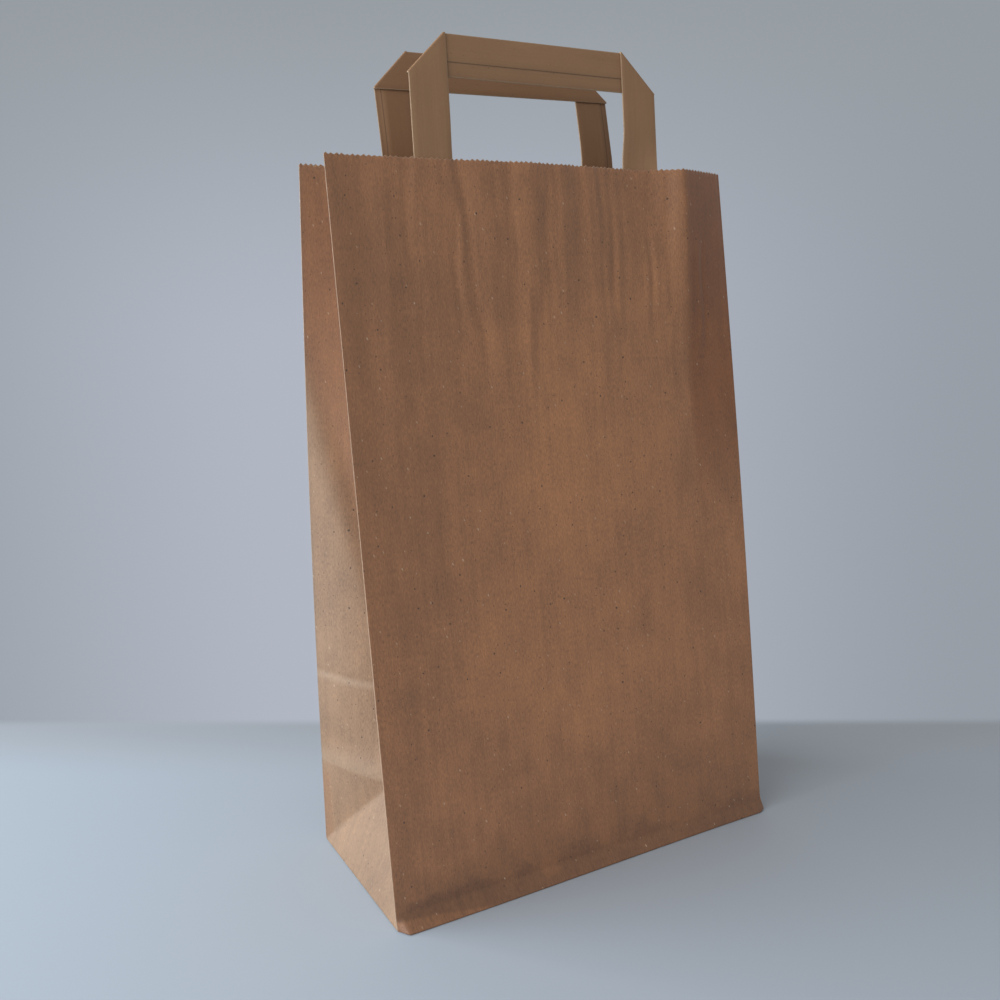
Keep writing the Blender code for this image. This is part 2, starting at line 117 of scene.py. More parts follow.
@dataclass
class Surface:
    """One open or closed surface under construction, with the flat place of each face corner."""

    name: str
    places: list[np.ndarray] = field(default_factory=list)
    faces: list[Sequence[int]] = field(default_factory=list)
    flat: list[Sequence[tuple[float, float]]] = field(default_factory=list)
    sharp: list[bool] = field(default_factory=list)
    count: int = 0

    def add_points(self, found: np.ndarray) -> np.ndarray:
        """Add points and return their numbers in the same layout.

        Args:
            found: An array of points, whose last axis has three coordinates.

        Returns:
            The vertex numbers, without that last axis.
        """
        numbers = np.arange(self.count, self.count + found[..., 0].size).reshape(found.shape[:-1])
        self.places.append(found.reshape(-1, 3))
        self.count += numbers.size
        return numbers

    def add_face(self, corners: Sequence[int], flat: Sequence[tuple[float, float]],
                 sharp: bool = False) -> None:
        """Add a face on vertex numbers, with the flat place of each corner.

        Args:
            corners: Vertex numbers, in order round the face.
            flat: Flat place of each corner.
            sharp: Whether the face is shaded flat.
        """
        self.faces.append([int(corner) for corner in corners])
        self.flat.append(flat)
        self.sharp.append(sharp)

    def add_grid(self, numbers: np.ndarray, along: np.ndarray, up: np.ndarray,
                 split: Optional[Callable[[float, float], int]] = None) -> None:
        """Add the faces between rows and columns of vertices.

        Args:
            numbers: Vertex numbers, one row of them for each value of up.
            along: Flat place of each column.
            up: Flat place of each row.
            split: Gives 1 or 2 for a face that is split on one of its diagonals, 0 for a whole one.
        """
        for j in range(len(up) - 1):
            for i in range(len(along) - 1):
                ring = [numbers[j, i], numbers[j, i + 1], numbers[j + 1, i + 1], numbers[j + 1, i]]
                flat = [(along[i], up[j]), (along[i + 1], up[j]),
                        (along[i + 1], up[j + 1]), (along[i], up[j + 1])]
                way = split((along[i] + along[i + 1]) / 2, (up[j] + up[j + 1]) / 2) if split else 0
                if way == 0:
                    self.add_face(ring, flat)
                    continue
                parts = ([0, 1, 2], [0, 2, 3]) if way == 1 else ([0, 1, 3], [1, 2, 3])
                for part in parts:
                    self.add_face([ring[k] for k in part], [flat[k] for k in part])

    def make(self, finish: "Finish") -> bpy.types.Object:
        """Turn the surface into an object.

        Args:
            finish: The finish whose material the object wears.

        Returns:
            The new object, linked to the scene.
        """
        mesh = bpy.data.meshes.new(self.name)
        mesh.from_pydata(np.concatenate(self.places).tolist(), [], self.faces)
        layer = mesh.uv_layers.new(name=FLAT_MAP)
        flat = np.array([place for face in self.flat for place in face], np.float32)
        layer.uv.foreach_set("vector", flat.ravel())
        mesh.polygons.foreach_set("use_smooth", [not sharp for sharp in self.sharp])
        mesh.materials.append(finish.material())
        mesh.validate(clean_customdata=False)
        thing = bpy.data.objects.new(self.name, mesh)
        bpy.context.scene.collection.objects.link(thing)
        return thing


def thicken(thing: bpy.types.Object, thickness: float) -> None:
    """Give an open surface its paper thickness, half to each side.

    Args:
        thing: The object.
        thickness: Thickness of the paper.
    """
    plies = thing.modifiers.new("paper", "SOLIDIFY")
    plies.thickness = thickness
    plies.offset = 0.0
    plies.use_even_offset = True
    plies.use_quality_normals = True


class Term:
    """An output socket whose arithmetic adds Math nodes to its tree."""

    def __init__(self, graph: "Graph", socket: bpy.types.NodeSocket) -> None:
        """Wrap a socket of a graph's tree."""
        self.graph = graph
        self.socket = socket

    def math(self, operation: str, *others: Union["Term", float]) -> "Term":
        """This value and others put through one Math node."""
        return self.graph.node("ShaderNodeMath", [self, *others], operation=operation)

    def __add__(self, other: Union["Term", float]) -> "Term":
        """Sum."""
        return self.math("ADD", other)

    __radd__ = __add__

    def __mul__(self, other: Union["Term", float]) -> "Term":
        """Product."""
        return self.math("MULTIPLY", other)

    __rmul__ = __mul__

    def __sub__(self, other: Union["Term", float]) -> "Term":
        """Difference."""
        return self.math("SUBTRACT", other)

    def __rsub__(self, other: Union["Term", float]) -> "Term":
        """Difference, the other way round."""
        return self.graph.node("ShaderNodeMath", [other, self], operation="SUBTRACT")

    def __truediv__(self, other: Union["Term", float]) -> "Term":
        """Quotient."""
        return self.math("DIVIDE", other)

    def __rtruediv__(self, other: Union["Term", float]) -> "Term":
        """Quotient, the other way round."""
        return self.graph.node("ShaderNodeMath", [other, self], operation="DIVIDE")

    def __abs__(self) -> "Term":
        """Size without its sign."""
        return self.math("ABSOLUTE")

    def least(self, other: Union["Term", float]) -> "Term":
        """The smaller of this and another value."""
        return self.math("MINIMUM", other)

    def most(self, other: Union["Term", float]) -> "Term":
        """The larger of this and another value."""
        return self.math("MAXIMUM", other)

    def wrap(self, length: float) -> "Term":
        """What is left past the last whole length."""
        return self.math("FLOORED_MODULO", length)

    def ramp(self, low: float, high: float, out_low: float = 0.0, out_high: float = 1.0) -> "Term":
        """A smooth step from out_low at low to out_high at high."""
        return self.graph.node("ShaderNodeMapRange", [self, low, high, out_low, out_high],
                               interpolation_type="SMOOTHSTEP")

    def line(self, at: float, half_width: float) -> "Term":
        """1 on a line at a value, soft to 0 at half_width from it."""
        return abs(self - at).ramp(0.0, half_width, 1.0, 0.0)


class Graph:
    """A material's or world's node tree, built from expressions."""

    def __init__(self, owner: Union[bpy.types.Material, bpy.types.World]) -> None:
        """Start from an empty tree.

        Args:
            owner: The material or the world.
        """
        owner.use_nodes = True
        self.tree = owner.node_tree
        self.tree.nodes.clear()

    def node(self, kind: str, values: Union[Sequence, dict] = (), out: Union[int, str] = 0,
             **settings: object) -> Term:
        """Add any node.

        Args:
            kind: The node's type.
            values: Values or links of its sockets, in order or by name.
            out: The output that the result wraps.
            settings: The node's own properties, which are set first.

        Returns:
            The chosen output.
        """
        node = self.tree.nodes.new(kind)
        for name, value in settings.items():
            setattr(node, name, value)
        pairs = values.items() if isinstance(values, dict) else enumerate(values)
        for key, value in pairs:
            if isinstance(value, Term):
                self.tree.links.new(value.socket, node.inputs[key])
            elif value is not None:
                node.inputs[key].default_value = value
        return Term(self, node.outputs[out] if node.outputs else None)

    def mix(self, share: Union[Term, float], first: Union[Term, Colour],
            second: Union[Term, Colour]) -> Term:
        """A colour a share of the way from the first to the second."""
        first, second = (value if isinstance(value, Term) else (*value, 1.0) for value in (first, second))
        return self.node("ShaderNodeMix", {0: share, 6: first, 7: second}, out=2, data_type="RGBA")

    def tint(self, colour: Union[Term, Colour], strength: Term) -> Term:
        """A colour made lighter or darker by a factor."""
        return self.node("ShaderNodeVectorMath", {0: colour, "Scale": strength}, operation="SCALE")

    def split(self, vector: Term, count: int = 2) -> list[Term]:
        """The first coordinates of a vector."""
        return [self.node("ShaderNodeSeparateXYZ", [vector], out=axis) for axis in range(count)]

    def flat_place(self) -> list[Term]:
        """Place on the flat paper, across and up."""
        return self.split(self.node("ShaderNodeUVMap", out="UV", uv_map=FLAT_MAP))

    def place(self, across: Term, up: Term, wide: float, long: float) -> Term:
        """A vector for a pattern whose cells are wide by long metres."""
        return self.node("ShaderNodeCombineXYZ", [across * (1 / wide), up * (1 / long), 0.0])

    def mottle(self, across: Term, up: Term, wide: float, long: float, detail: float = 3.0,
               roughness: float = 0.6) -> Term:
        """Noise about 0, from about -0.5 to 0.5.

        Args:
            across: Place across the paper.
            up: Place up the paper.
            wide: Width of a blot, in metres.
            long: Its length.
            detail: How many finer layers it has.
            roughness: How strong they are.

        Returns:
            The noise.
        """
        at = self.place(across, up, wide, long)
        made = self.node("ShaderNodeTexNoise",
                         {"Vector": at, "Scale": 1.0, "Detail": detail, "Roughness": roughness},
                         noise_dimensions="2D")
        return made - 0.5

    def specks(self, across: Term, up: Term, kind: "Specks") -> Term:
        """Small spots, one in some of the cells of a Voronoi pattern.

        Args:
            across: Place across the paper.
            up: Place up the paper.
            kind: The sort of speck.

        Returns:
            1 in a spot and 0 outside it.
        """
        at = self.place(across, up, kind.wide, kind.long)
        away = self.node("ShaderNodeTexVoronoi", {"Vector": at, "Scale": 1.0}, out="Distance",
                         voronoi_dimensions="2D")
        draw = Term(self, away.socket.node.outputs["Color"])
        red, green = (self.node("ShaderNodeSeparateColor", [draw], out=channel) for channel in range(2))
        size = green * ((1 - kind.least) * kind.radius) + kind.least * kind.radius
        spot = (away / size).ramp(kind.core, 1.0, 1.0, 0.0)
        return spot * red.math("LESS_THAN", kind.share)

    def paper_bump(self, height: Term) -> Term:
        """The normal of paper whose fine relief has a height."""
        return self.node("ShaderNodeBump", {"Strength": 0.35, "Distance": 0.00012, "Height": height},
                         out="Normal")


@dataclass(frozen=True)
class Specks:
    """One sort of speck: its cells' size, the share that hold one, and its largest radius in cells."""

    wide: float
    long: float
    share: float
    radius: float
    least: float = 0.35
    core: float = 0.55


SMALL_SPECKS = Specks(0.0032, 0.0038, 0.34, 0.130)
LARGE_SPECKS = Specks(0.0078, 0.0098, 0.30, 0.072)
PALE_SPECKS = Specks(0.0050, 0.0105, 0.22, 0.085)
TAPE_SPECKS = Specks(0.0050, 0.0060, 0.22, 0.065)


@dataclass(frozen=True)
class Finish:
    """What every finish has: a name and a slot name, which nothing here reads."""

    name: str
    slot: str

    def material(self) -> bpy.types.Material:
        """The finish as a material, made once.

        Returns:
            The material.
        """
        found = bpy.data.materials.get(self.name)
        if found:
            return found
        made = bpy.data.materials.new(self.name)
        self.shade(Graph(made))
        return made

    def shade(self, graph: Graph) -> None:
        """Fill the material's node tree."""
        raise NotImplementedError


@dataclass(frozen=True)
class KraftFinish(Finish):
    """Uncoated brown kraft paper, with upright grain, specks and folds pale from wear, and painted light
    and shade on the gussets, the front's right strip, its foot and the folds.
    """

    colour: Colour = (0.378, 0.161, 0.0625)
    gusset_lit_colour: Colour = (0.315, 0.176, 0.089)
    shaded_strip_colour: Colour = (0.272, 0.092, 0.024)
    wear_and_highlight_colour: Colour = (0.58, 0.46, 0.33)
    fibre_colour: Colour = (0.62, 0.48, 0.33)
    speck_colour: Colour = (0.042, 0.021, 0.010)
    roughness: float = 0.60
    gloss: float = 0.95
    sheen: float = 0.20
    sheen_roughness: float = 0.45
    folds_u: tuple[float, ...] = ()
    gussets_u: tuple[float, ...] = ()
    half_depth: float = 0.050
    height: float = 0.350
    tooth_pitch: float = 0.0025
    tooth_depth: float = 0.0009
    bulge_top: float = 0.245
    bulge_fall: float = 0.132
    strip_from: tuple[float, float] = (0.186, 0.194)
    strip_climb: tuple[float, float] = (0.160, 0.240)
    strip_end: float = 0.220
    strip_shade_share: float = 0.95
    rear_light_share: float = 0.25
    rear_shade: float = 0.15
    back_edge_width: float = 0.0030
    back_edge_shade: float = 0.20
    fold_line_width: float = 0.00062
    fold_wear_and_highlight: float = 0.78
    rubbed_cut: float = 0.60
    cut_width: float = 0.0005
    centre: tuple[float, float] = (0.118, 0.185)
    centre_light: float = 0.14
    left_shade: float = 0.09
    top_shade: float = 0.07
    foot_shade: float = 0.15
    low_shade: float = 0.13
    foot_band_shade: float = 0.20

    def shade(self, graph: Graph) -> None:
        """Grain, mottling, specks, pale fibres and lighter folds on a matt shader, with painted light and
        shade in the colour.

        Args:
            graph: The material's tree.
        """
        u, v = graph.flat_place()
        cloud = graph.mottle(u, v, 0.045, 0.060, roughness=0.55)
        blotch = graph.mottle(u, v, 0.011, 0.016)
        streak = graph.mottle(u, v, 0.0028, 0.050)
        grain = graph.mottle(u, v, 0.0007, 0.0019, roughness=0.65)
        fibre = graph.mottle(u, v, 0.0003, 0.0030, 2.0, 0.5)
        tone = 1.0 + cloud * 0.46 + blotch * 0.36 + streak * 0.32 + grain * 0.92 + fibre * 0.45
        # Painted shade: the strip right of the front panel's ridge, which faces away from the light, is
        # darkened towards a browner colour.
        strip = u.ramp(*self.strip_from) * v.ramp(*self.strip_climb) * u.math("LESS_THAN", self.strip_end)
        ground = graph.mix(strip * self.strip_shade_share, self.colour, self.shaded_strip_colour)
        if self.gussets_u:
            # Painted light and shade on the gussets: a paler, greyer colour where they face the light, and
            # darker rear halves above it.
            rear, amount = self.gusset_painted_light(u, v)
            share = (amount * (1 - self.rear_light_share) + self.rear_light_share) * rear.most(amount)
            ground = graph.mix(share, ground, self.gusset_lit_colour)
            tone = tone * (1.0 - rear * (1.0 - amount) * self.rear_shade)
            # Painted shade along the gussets' back folds.
            tone = tone * (1.0 - self.back_edge(u) * rear * self.back_edge_shade)
        paper = graph.tint(ground, tone * self.tones(graph, u, v))
        wander = graph.mottle(u, v, 0.006, 0.006, 2.0, 0.5)
        small = graph.specks(u + wander * 0.001, v, SMALL_SPECKS)
        large = graph.specks(u + wander * 0.002, v + 0.4, LARGE_SPECKS)
        pale = graph.specks(u + v * 0.4, v - u * 0.3 + 0.9, PALE_SPECKS)
        paper = graph.mix(small * (streak + 0.50), paper, self.speck_colour)
        paper = graph.mix(large * 0.92, paper, self.speck_colour)
        paper = graph.mix(pale * (blotch + 0.52), paper, self.fibre_colour)
        # Pale marks that are partly wear and partly painted light.
        rubbed_and_lit = self.rubbed_and_lit(u, v) * (grain * 0.8 + 0.75)
        paper = graph.mix(rubbed_and_lit, paper, self.wear_and_highlight_colour)
        relief = grain * 0.6 + fibre * 0.3 + blotch * 0.8 - small * 0.2 - large * 0.3
        shader = graph.node("ShaderNodeBsdfPrincipled",
                            {"Base Color": paper,
                             "Roughness": self.roughness + grain * 0.12 - rubbed_and_lit * 0.05,
                             "Normal": graph.paper_bump(relief),
                             "Specular IOR Level": self.gloss, "Sheen Weight": self.sheen,
                             "Sheen Roughness": self.sheen_roughness})
        graph.node("ShaderNodeOutputMaterial", [shader])

    def gusset_places(self, u: Term) -> tuple[Term, Term, Term]:
        """Where a place is in the gussets.

        Args:
            u: Place round the bag on the flat paper.

        Returns:
            Distance from the nearest gusset's middle crease, 1 in the gussets, and 1 behind their creases.
        """
        right, left = self.gussets_u
        aside = abs(u - right).least(abs(u - left))
        inside = aside.math("LESS_THAN", self.half_depth)
        behind = abs(u - (right + left) / 2).math("LESS_THAN", (left - right) / 2)
        return aside, inside, behind

    def rubbed_and_lit(self, u: Term, v: Term) -> Term:
        """How far each point is made pale: on the folds, by wear and a painted highlight, along the cut
        rim, on the gussets' crease lines and in a painted light band above their low ridge.

        Args:
            u: Place round the bag on the flat paper.
            v: Length of paper up from the base fold.

        Returns:
            The share of pale paper, wear and painted light together.
        """
        # Fold lines: paper pale from wear, with a painted highlight where the rounded folds catch the
        # light.
        lines = [u.line(fold, self.fold_line_width) for fold in self.folds_u]
        amount = lines[0]
        for line in lines[1:]:
            amount = amount.most(line)
        saw = abs((u / self.tooth_pitch).wrap(1.0) - 0.5) * (2 * self.tooth_depth)
        cut = (self.height - saw - v).ramp(0.0, self.cut_width, 1.0, 0.0)
        amount = (amount * self.fold_wear_and_highlight).most(cut * self.rubbed_cut)
        if not self.gussets_u:
            return amount
        aside, inside, behind = self.gusset_places(u)
        above = v.math("GREATER_THAN", self.half_depth)
        diagonal = (aside + v).line(self.half_depth, 0.0008) * 0.08
        middle = aside.line(0.0, 0.0007) * above * 0.40
        # Painted light: a pale band above the gussets' low ridge, where it faces up to the light.
        over = v + aside * 0.06 - self.half_depth
        low = over.ramp(0.0, 0.0014) * over.ramp(0.0030, 0.0140, 1.0, 0.0) * behind * 0.20
        high = (v + aside * 0.05).line(2 * self.half_depth, 0.0038) * 0.22
        return amount.most(inside * diagonal.most(middle).most(low).most(high))

    def gusset_painted_light(self, u: Term, v: Term) -> tuple[Term, Term]:
        """Where the gussets' rear halves are, and where painted light makes the gussets paler.

        Args:
            u: Place round the bag on the flat paper.
            v: Length of paper up from the base fold.

        Returns:
            1 in the rear halves, and the share of painted light.
        """
        aside, inside, behind = self.gusset_places(u)
        rear = inside * behind
        # Painted light: paler below the soft bend and on the lower triangles, cut back as painted shade in
        # a sliver by the back fold near the foot.
        bend = aside * (self.bulge_fall / self.half_depth) + (self.bulge_top - self.bulge_fall)
        edge = (aside - self.half_depth + 0.006).ramp(-0.002, 0.002) * v.ramp(0.038, 0.046, 1.0, 0.0)
        base = (self.half_depth - aside - v).ramp(-0.0004, 0.0004) * inside
        amount = (bend + 0.014 - v).ramp(-0.022, 0.022) * (1.0 - edge * rear * 0.45) * inside
        return rear, amount.most(base)

    def back_edge(self, u: Term) -> Term:
        """1 along the gussets' back folds, where painted shade darkens the paper.

        Args:
            u: Place round the bag on the flat paper.

        Returns:
            1 on the folds, 0 away from them.
        """
        right, left = self.gussets_u
        first = u.line(right + self.half_depth, self.back_edge_width)
        return first.most(u.line(left - self.half_depth, self.back_edge_width))

    def tones(self, graph: Graph, u: Term, v: Term) -> Term:
        """Broad tones of the paper: lighter in the middle of a panel, and darker at the foot as painted
        shade with some grime.

        Args:
            graph: The material's tree.
            u: Place round the bag on the flat paper.
            v: Length of paper up from the base fold.

        Returns:
            A factor for the paper's colour.
        """
        across, up = self.centre
        middle = abs(u - across).ramp(0.0, 0.085, 1.0, 0.0) * abs(v - up).ramp(0.020, 0.150, 1.0, 0.0)
        left = u.ramp(0.020, 0.085, 1.0, 0.0) * v.ramp(0.110, 0.190) * self.left_shade
        high = v.ramp(0.200, 0.300) * self.top_shade
        edge = graph.mottle(u, v, 0.024, 0.034, 2.5, 0.55) * 0.036
        # A darker band above the foot: painted shade under the overhanging crease, with some grime; the
        # lowest rim, which catches the light, is kept clear.
        rim = (v - u.ramp(0.0, 0.075, 0.0036, -0.0020)).ramp(0.0, 0.0012)
        foot_band = (v + edge).ramp(0.0065, 0.0130, 1.0, 0.0) * rim * u.ramp(0.030, 0.120, 1.0, 0.65)
        # Darker towards the foot: painted shade near the floor, partly the paper's own colour.
        foot = v.ramp(0.0, 0.030, self.foot_shade, 0.0) + v.ramp(0.0, 0.080, self.low_shade, 0.0)
        dark = left + high + foot + foot_band * self.foot_band_shade
        if self.gussets_u:
            dark = dark * u.math("LESS_THAN", self.folds_u[1])
        return 1.0 + middle * self.centre_light - dark


@dataclass(frozen=True)
class TapeFinish(Finish):
    """Folded and glued kraft tape, a little greyer and smoother than the bag."""

    colour: Colour = (0.350, 0.198, 0.104)
    edge_wear_highlight_colour: Colour = (0.50, 0.38, 0.26)
    speck_colour: Colour = (0.05, 0.03, 0.018)
    roughness: float = 0.72
    gloss: float = 0.4
    width: float = 0.0195
    edge_width: float = 0.0007
    seam: float = 0.0070
    seam_width: float = 0.0004
    seam_shade: float = 0.60
    under_shade: float = 0.12

    def shade(self, graph: Graph) -> None:
        """Long grain, faint cross ripples, the lap's seam as a painted shadow line with painted shade
        below it, and edges pale from wear and a painted highlight, on a matt shader.

        Args:
            graph: The material's tree.
        """
        u, v = graph.flat_place()
        cloud = graph.mottle(u, v, 0.012, 0.030, roughness=0.55)
        streak = graph.mottle(u, v, 0.0013, 0.040)
        grain = graph.mottle(u, v, 0.0005, 0.0018, roughness=0.65)
        paper = graph.tint(self.colour, 1.0 + cloud * 0.18 + streak * 0.14 + grain * 0.20)
        paper = graph.mix(graph.specks(u, v, TAPE_SPECKS) * 0.5, paper, self.speck_colour)
        # Pale edge lines: wear and a painted highlight on the tape's folded edges.
        edge = u.line(0.0, self.edge_width).most(u.line(self.width, self.edge_width))
        paper = graph.mix(edge * (grain * 0.8 + 0.45), paper, self.edge_wear_highlight_colour)
        lapped = v.math("GREATER_THAN", LAPPED_SIDE)
        # Painted shadow: a dark line where the lap's edge steps down.
        seam = u.line(self.seam - self.seam_width / 2, self.seam_width) * lapped
        paper = graph.mix(seam * self.seam_shade, paper, self.speck_colour)
        # Painted shade on the lapped face below the seam, darkest at the tape's edge.
        under = u.ramp(0.0, self.seam, self.under_shade, 0.0) * lapped
        shader = graph.node("ShaderNodeBsdfPrincipled",
                            {"Base Color": graph.tint(paper, 1.0 - under),
                             "Roughness": self.roughness + grain * 0.12,
                             "Normal": graph.paper_bump(grain * 0.5 + streak * 0.8 + cloud * 1.2),
                             "Specular IOR Level": self.gloss})
        graph.node("ShaderNodeOutputMaterial", [shader])


WRINKLE_LEVEL = 0.300
WRINKLE_WANDER = 0.0009
WRINKLE_WAVE = 0.055
WRINKLE_PHASE = 90.0
WRINKLE_FOOT_FADE = 0.035
WRINKLE_TOP_FADE = 0.020


@dataclass(frozen=True)
class Wrinkle:
    """One upright wrinkle: a ridge where rise is positive, a valley where it is negative."""

    x: float
    lean: float
    wide: float
    rise: float
    foot: float
    top: float = 1.0

    def height(self, x: Number, v: Number) -> Number:
        """How far the wrinkle stands out of the panel at each place.

        Args:
            x: Place across the panel.
            v: Length of paper up from the base fold.

        Returns:
            The height, below 0 in a valley.
        """
        wander = WRINKLE_WANDER * np.sin(2 * pi * v / WRINKLE_WAVE + WRINKLE_PHASE * self.x)
        middle = self.x + self.lean * (v - WRINKLE_LEVEL) + wander
        kept = smooth((v - self.foot) / WRINKLE_FOOT_FADE) * smooth((self.top - v) / WRINKLE_TOP_FADE)
        return self.rise * bump((x - middle) / self.wide) * kept


WRINKLES = (
    Wrinkle(-0.0960, 0.02, 0.0060, -0.00040, 0.185),
    Wrinkle(-0.0840, 0.03, 0.0050, 0.00035, 0.200),
    Wrinkle(-0.0705, 0.05, 0.0022, 0.00038, 0.262),
    Wrinkle(-0.0610, 0.02, 0.0050, 0.00030, 0.240),
    Wrinkle(-0.0505, 0.06, 0.0016, -0.00022, 0.262),
    Wrinkle(-0.0470, -0.04, 0.0026, 0.00040, 0.250),
    Wrinkle(-0.0423, -0.09, 0.0024, -0.00048, 0.236),
    Wrinkle(-0.0330, -0.05, 0.0045, 0.00050, 0.228),
    Wrinkle(-0.0200, 0.00, 0.0038, -0.00048, 0.236),
    Wrinkle(-0.0110, 0.06, 0.0040, 0.00038, 0.222),
    Wrinkle(-0.0040, 0.13, 0.0034, -0.00045, 0.215),
    Wrinkle(0.0060, 0.08, 0.0040, 0.00038, 0.222),
    Wrinkle(0.0160, 0.06, 0.0044, -0.00045, 0.228),
    Wrinkle(0.0270, 0.00, 0.0042, 0.00045, 0.220),
    Wrinkle(0.0368, 0.00, 0.0016, -0.00048, 0.262, 0.330),
    Wrinkle(0.0400, 0.03, 0.0016, 0.00052, 0.258, 0.330),
    Wrinkle(0.0500, 0.00, 0.0045, -0.00035, 0.236),
    Wrinkle(0.0600, 0.02, 0.0012, -0.00040, 0.262, 0.326),
    Wrinkle(0.0623, 0.02, 0.0013, 0.00040, 0.262, 0.326),
    Wrinkle(0.0680, 0.00, 0.0045, 0.00030, 0.222),
    Wrinkle(0.0884, 0.00, 0.0018, 0.00040, 0.244, 0.322),
    Wrinkle(0.0912, 0.00, 0.0014, -0.00040, 0.244, 0.322),
)


HANDLE_WIDTH = 0.1346
TAPE_WIDTH = 0.0195
LEG_BURIED = 0.072
PATCH_MARGIN = 0.010
PATCH_BELOW_LEG = 0.005
PATCH_BELOW_RIM = 0.003
PATCH_RAMP = 0.003
EMBOSS = 0.0003
CLEARANCE = 0.0003
FINE_WRINKLE_SEED = 5
TOOTH_SEED = 11


@dataclass
class Sheet:
    """The bag's one sheet of paper: how its flat places lie in space, and its mesh."""

    width: float = 0.220
    depth: float = 0.100
    height: float = 0.350
    paper: float = 0.00016
    front_setback: float = 0.037
    back_setback: float = 0.028
    tooth_pitch: float = 0.0025
    tooth_depth: float = 0.0009
    tooth_wear: float = 0.00055
    tooth_slip: float = 0.00035
    lap_from_edge: float = 0.006
    lap_width: float = 0.018
    lap_ramp: float = 0.0003
    foot_height: float = 0.006
    foot_flare_left: float = 0.0065
    foot_flare_right: float = 0.0022
    back_foot_flare: float = 0.0015
    foot_corner: float = 0.0035
    corner_flare_reach: float = 0.0022
    corner_flare_height: float = 0.012
    edge_bow: float = 0.0016
    relief_foot: float = 0.235
    ridge_rise: float = 0.0095
    ridge_from_edge: float = 0.030
    ridge_spread: float = 0.0115
    belly_rise: float = 0.0042
    belly_centre: float = -0.008
    belly_spread: float = 0.038
    back_belly_rise: float = 0.004
    buckle_rise: float = 0.0011
    right_buckle: tuple[float, float] = (0.068, 0.205)
    right_buckle_spread: float = 0.021
    left_buckle: tuple[float, float] = (-0.060, 0.150)
    left_buckle_spread: tuple[float, float] = (0.045, 0.075)
    left_buckle_share: float = 0.7
    buckle_edge: float = 0.015
    gusset_swell: float = 0.0025
    gusset_bulge: float = 0.0045
    bulge_top: float = 0.245
    bulge_fall: float = 0.132
    bulge_ramp: float = 0.045
    ridge_over_base: float = 0.0019
    ridge_above: float = 0.016
    ridge_below: float = 0.024
    ridge_clear: float = 0.012
    crease_dent: float = 0.00045
    crease_reach: float = 0.0026
    crease_end: float = 0.060
    crease_fade: float = 0.080
    crease_slant: float = 0.04
    gusset_edge: float = 0.004
    fold_run: float = 0.0008
    fold_steps: int = 4
    cell: float = 0.0025
    tall_cell: float = 0.0045
    crease_cell: float = 0.0012
    crease_below: float = 0.010
    crease_above: float = 0.004
    plain_up_to: float = 0.180
    wrinkle_depth: float = 1.2
    wrinkle_edge: float = 0.012
    back_stretch: float = 1.06
    fine_count: int = 34
    fine_reach: float = 0.080
    fine_lean: float = 0.06
    fine_wide: tuple[float, float] = (0.0013, 0.0024)
    fine_rise: tuple[float, float] = (0.00008, 0.00022)
    fine_foot: tuple[float, float] = (0.215, 0.290)
    rows: list[float] = field(init=False)
    fine: list[Wrinkle] = field(init=False)

    def __post_init__(self) -> None:
        """Work out the rows that every wall shares, from the base fold to the rim's valleys."""
        foot = [0.0, self.fold_run, self.cell, 0.004, 0.005, self.foot_height, 3 * self.cell]
        low = through([3 * self.cell, self.half_depth], self.cell)[1:]
        near = self.depth - self.crease_below, self.depth + self.crease_above
        middle = through([self.half_depth, near[0]], self.tall_cell)[1:]
        middle += through([near[0], self.depth, near[1]], self.crease_cell)[1:]
        middle += through([near[1], self.plain_up_to, self.relief_foot], self.tall_cell)[1:]
        high = through([self.relief_foot, self.valley - self.cell, self.valley], self.cell)[1:]
        self.rows = foot + low + middle + high
        draw = np.random.default_rng(FINE_WRINKLE_SEED)
        self.fine = [Wrinkle(draw.uniform(-self.fine_reach, self.fine_reach),
                             draw.uniform(-self.fine_lean, self.fine_lean),
                             draw.uniform(*self.fine_wide), draw.uniform(*self.fine_rise) * (-1) ** i,
                             draw.uniform(*self.fine_foot)) for i in range(self.fine_count)]

    @property
    def half_width(self) -> float:
        """Half of the width across the front."""
        return self.width / 2

    @property
    def half_depth(self) -> float:
        """Half of the depth at the base."""
        return self.depth / 2

    @property
    def base_level(self) -> float:
        """Height of the base sheet's middle, above both flaps."""
        return 2.5 * self.paper

    @property
    def valley(self) -> float:
        """Length of the paper up to the valleys between the saw teeth."""
        return self.height - self.tooth_depth

    def setback(self, face: Face) -> float:
        """How far a panel leans in from its foot to the rim."""
        return self.front_setback if face is Face.FRONT else self.back_setback

    def over_leg(self, x: Number, ramp: float) -> Number:
        """1 over a handle's leg, 0 away from it, with a ramp at each edge of the tape.

        Args:
            x: Place across the panel.
            ramp: Width of the ramp.

        Returns:
            The share.
        """
        outer = HANDLE_WIDTH / 2
        inner = outer - TAPE_WIDTH
        return smooth((abs(x) - inner + ramp) / ramp) * smooth((outer + ramp - abs(x)) / ramp)

    def puckers(self, face: Face, x: Number, v: Number) -> Number:
        """Upright wrinkles where the glued handles have drawn the paper in.

        Args:
            face: The front or the back.
            x: Place across the panel.
            v: Length of paper up from the base fold.

        Returns:
            The height.
        """
        across = x if face is Face.FRONT else -self.back_stretch * x
        edge = smooth((self.half_width - abs(x)) / self.wrinkle_edge)
        total = sum(wrinkle.height(across, v) for wrinkle in (*WRINKLES, *self.fine))
        return self.wrinkle_depth * edge * total

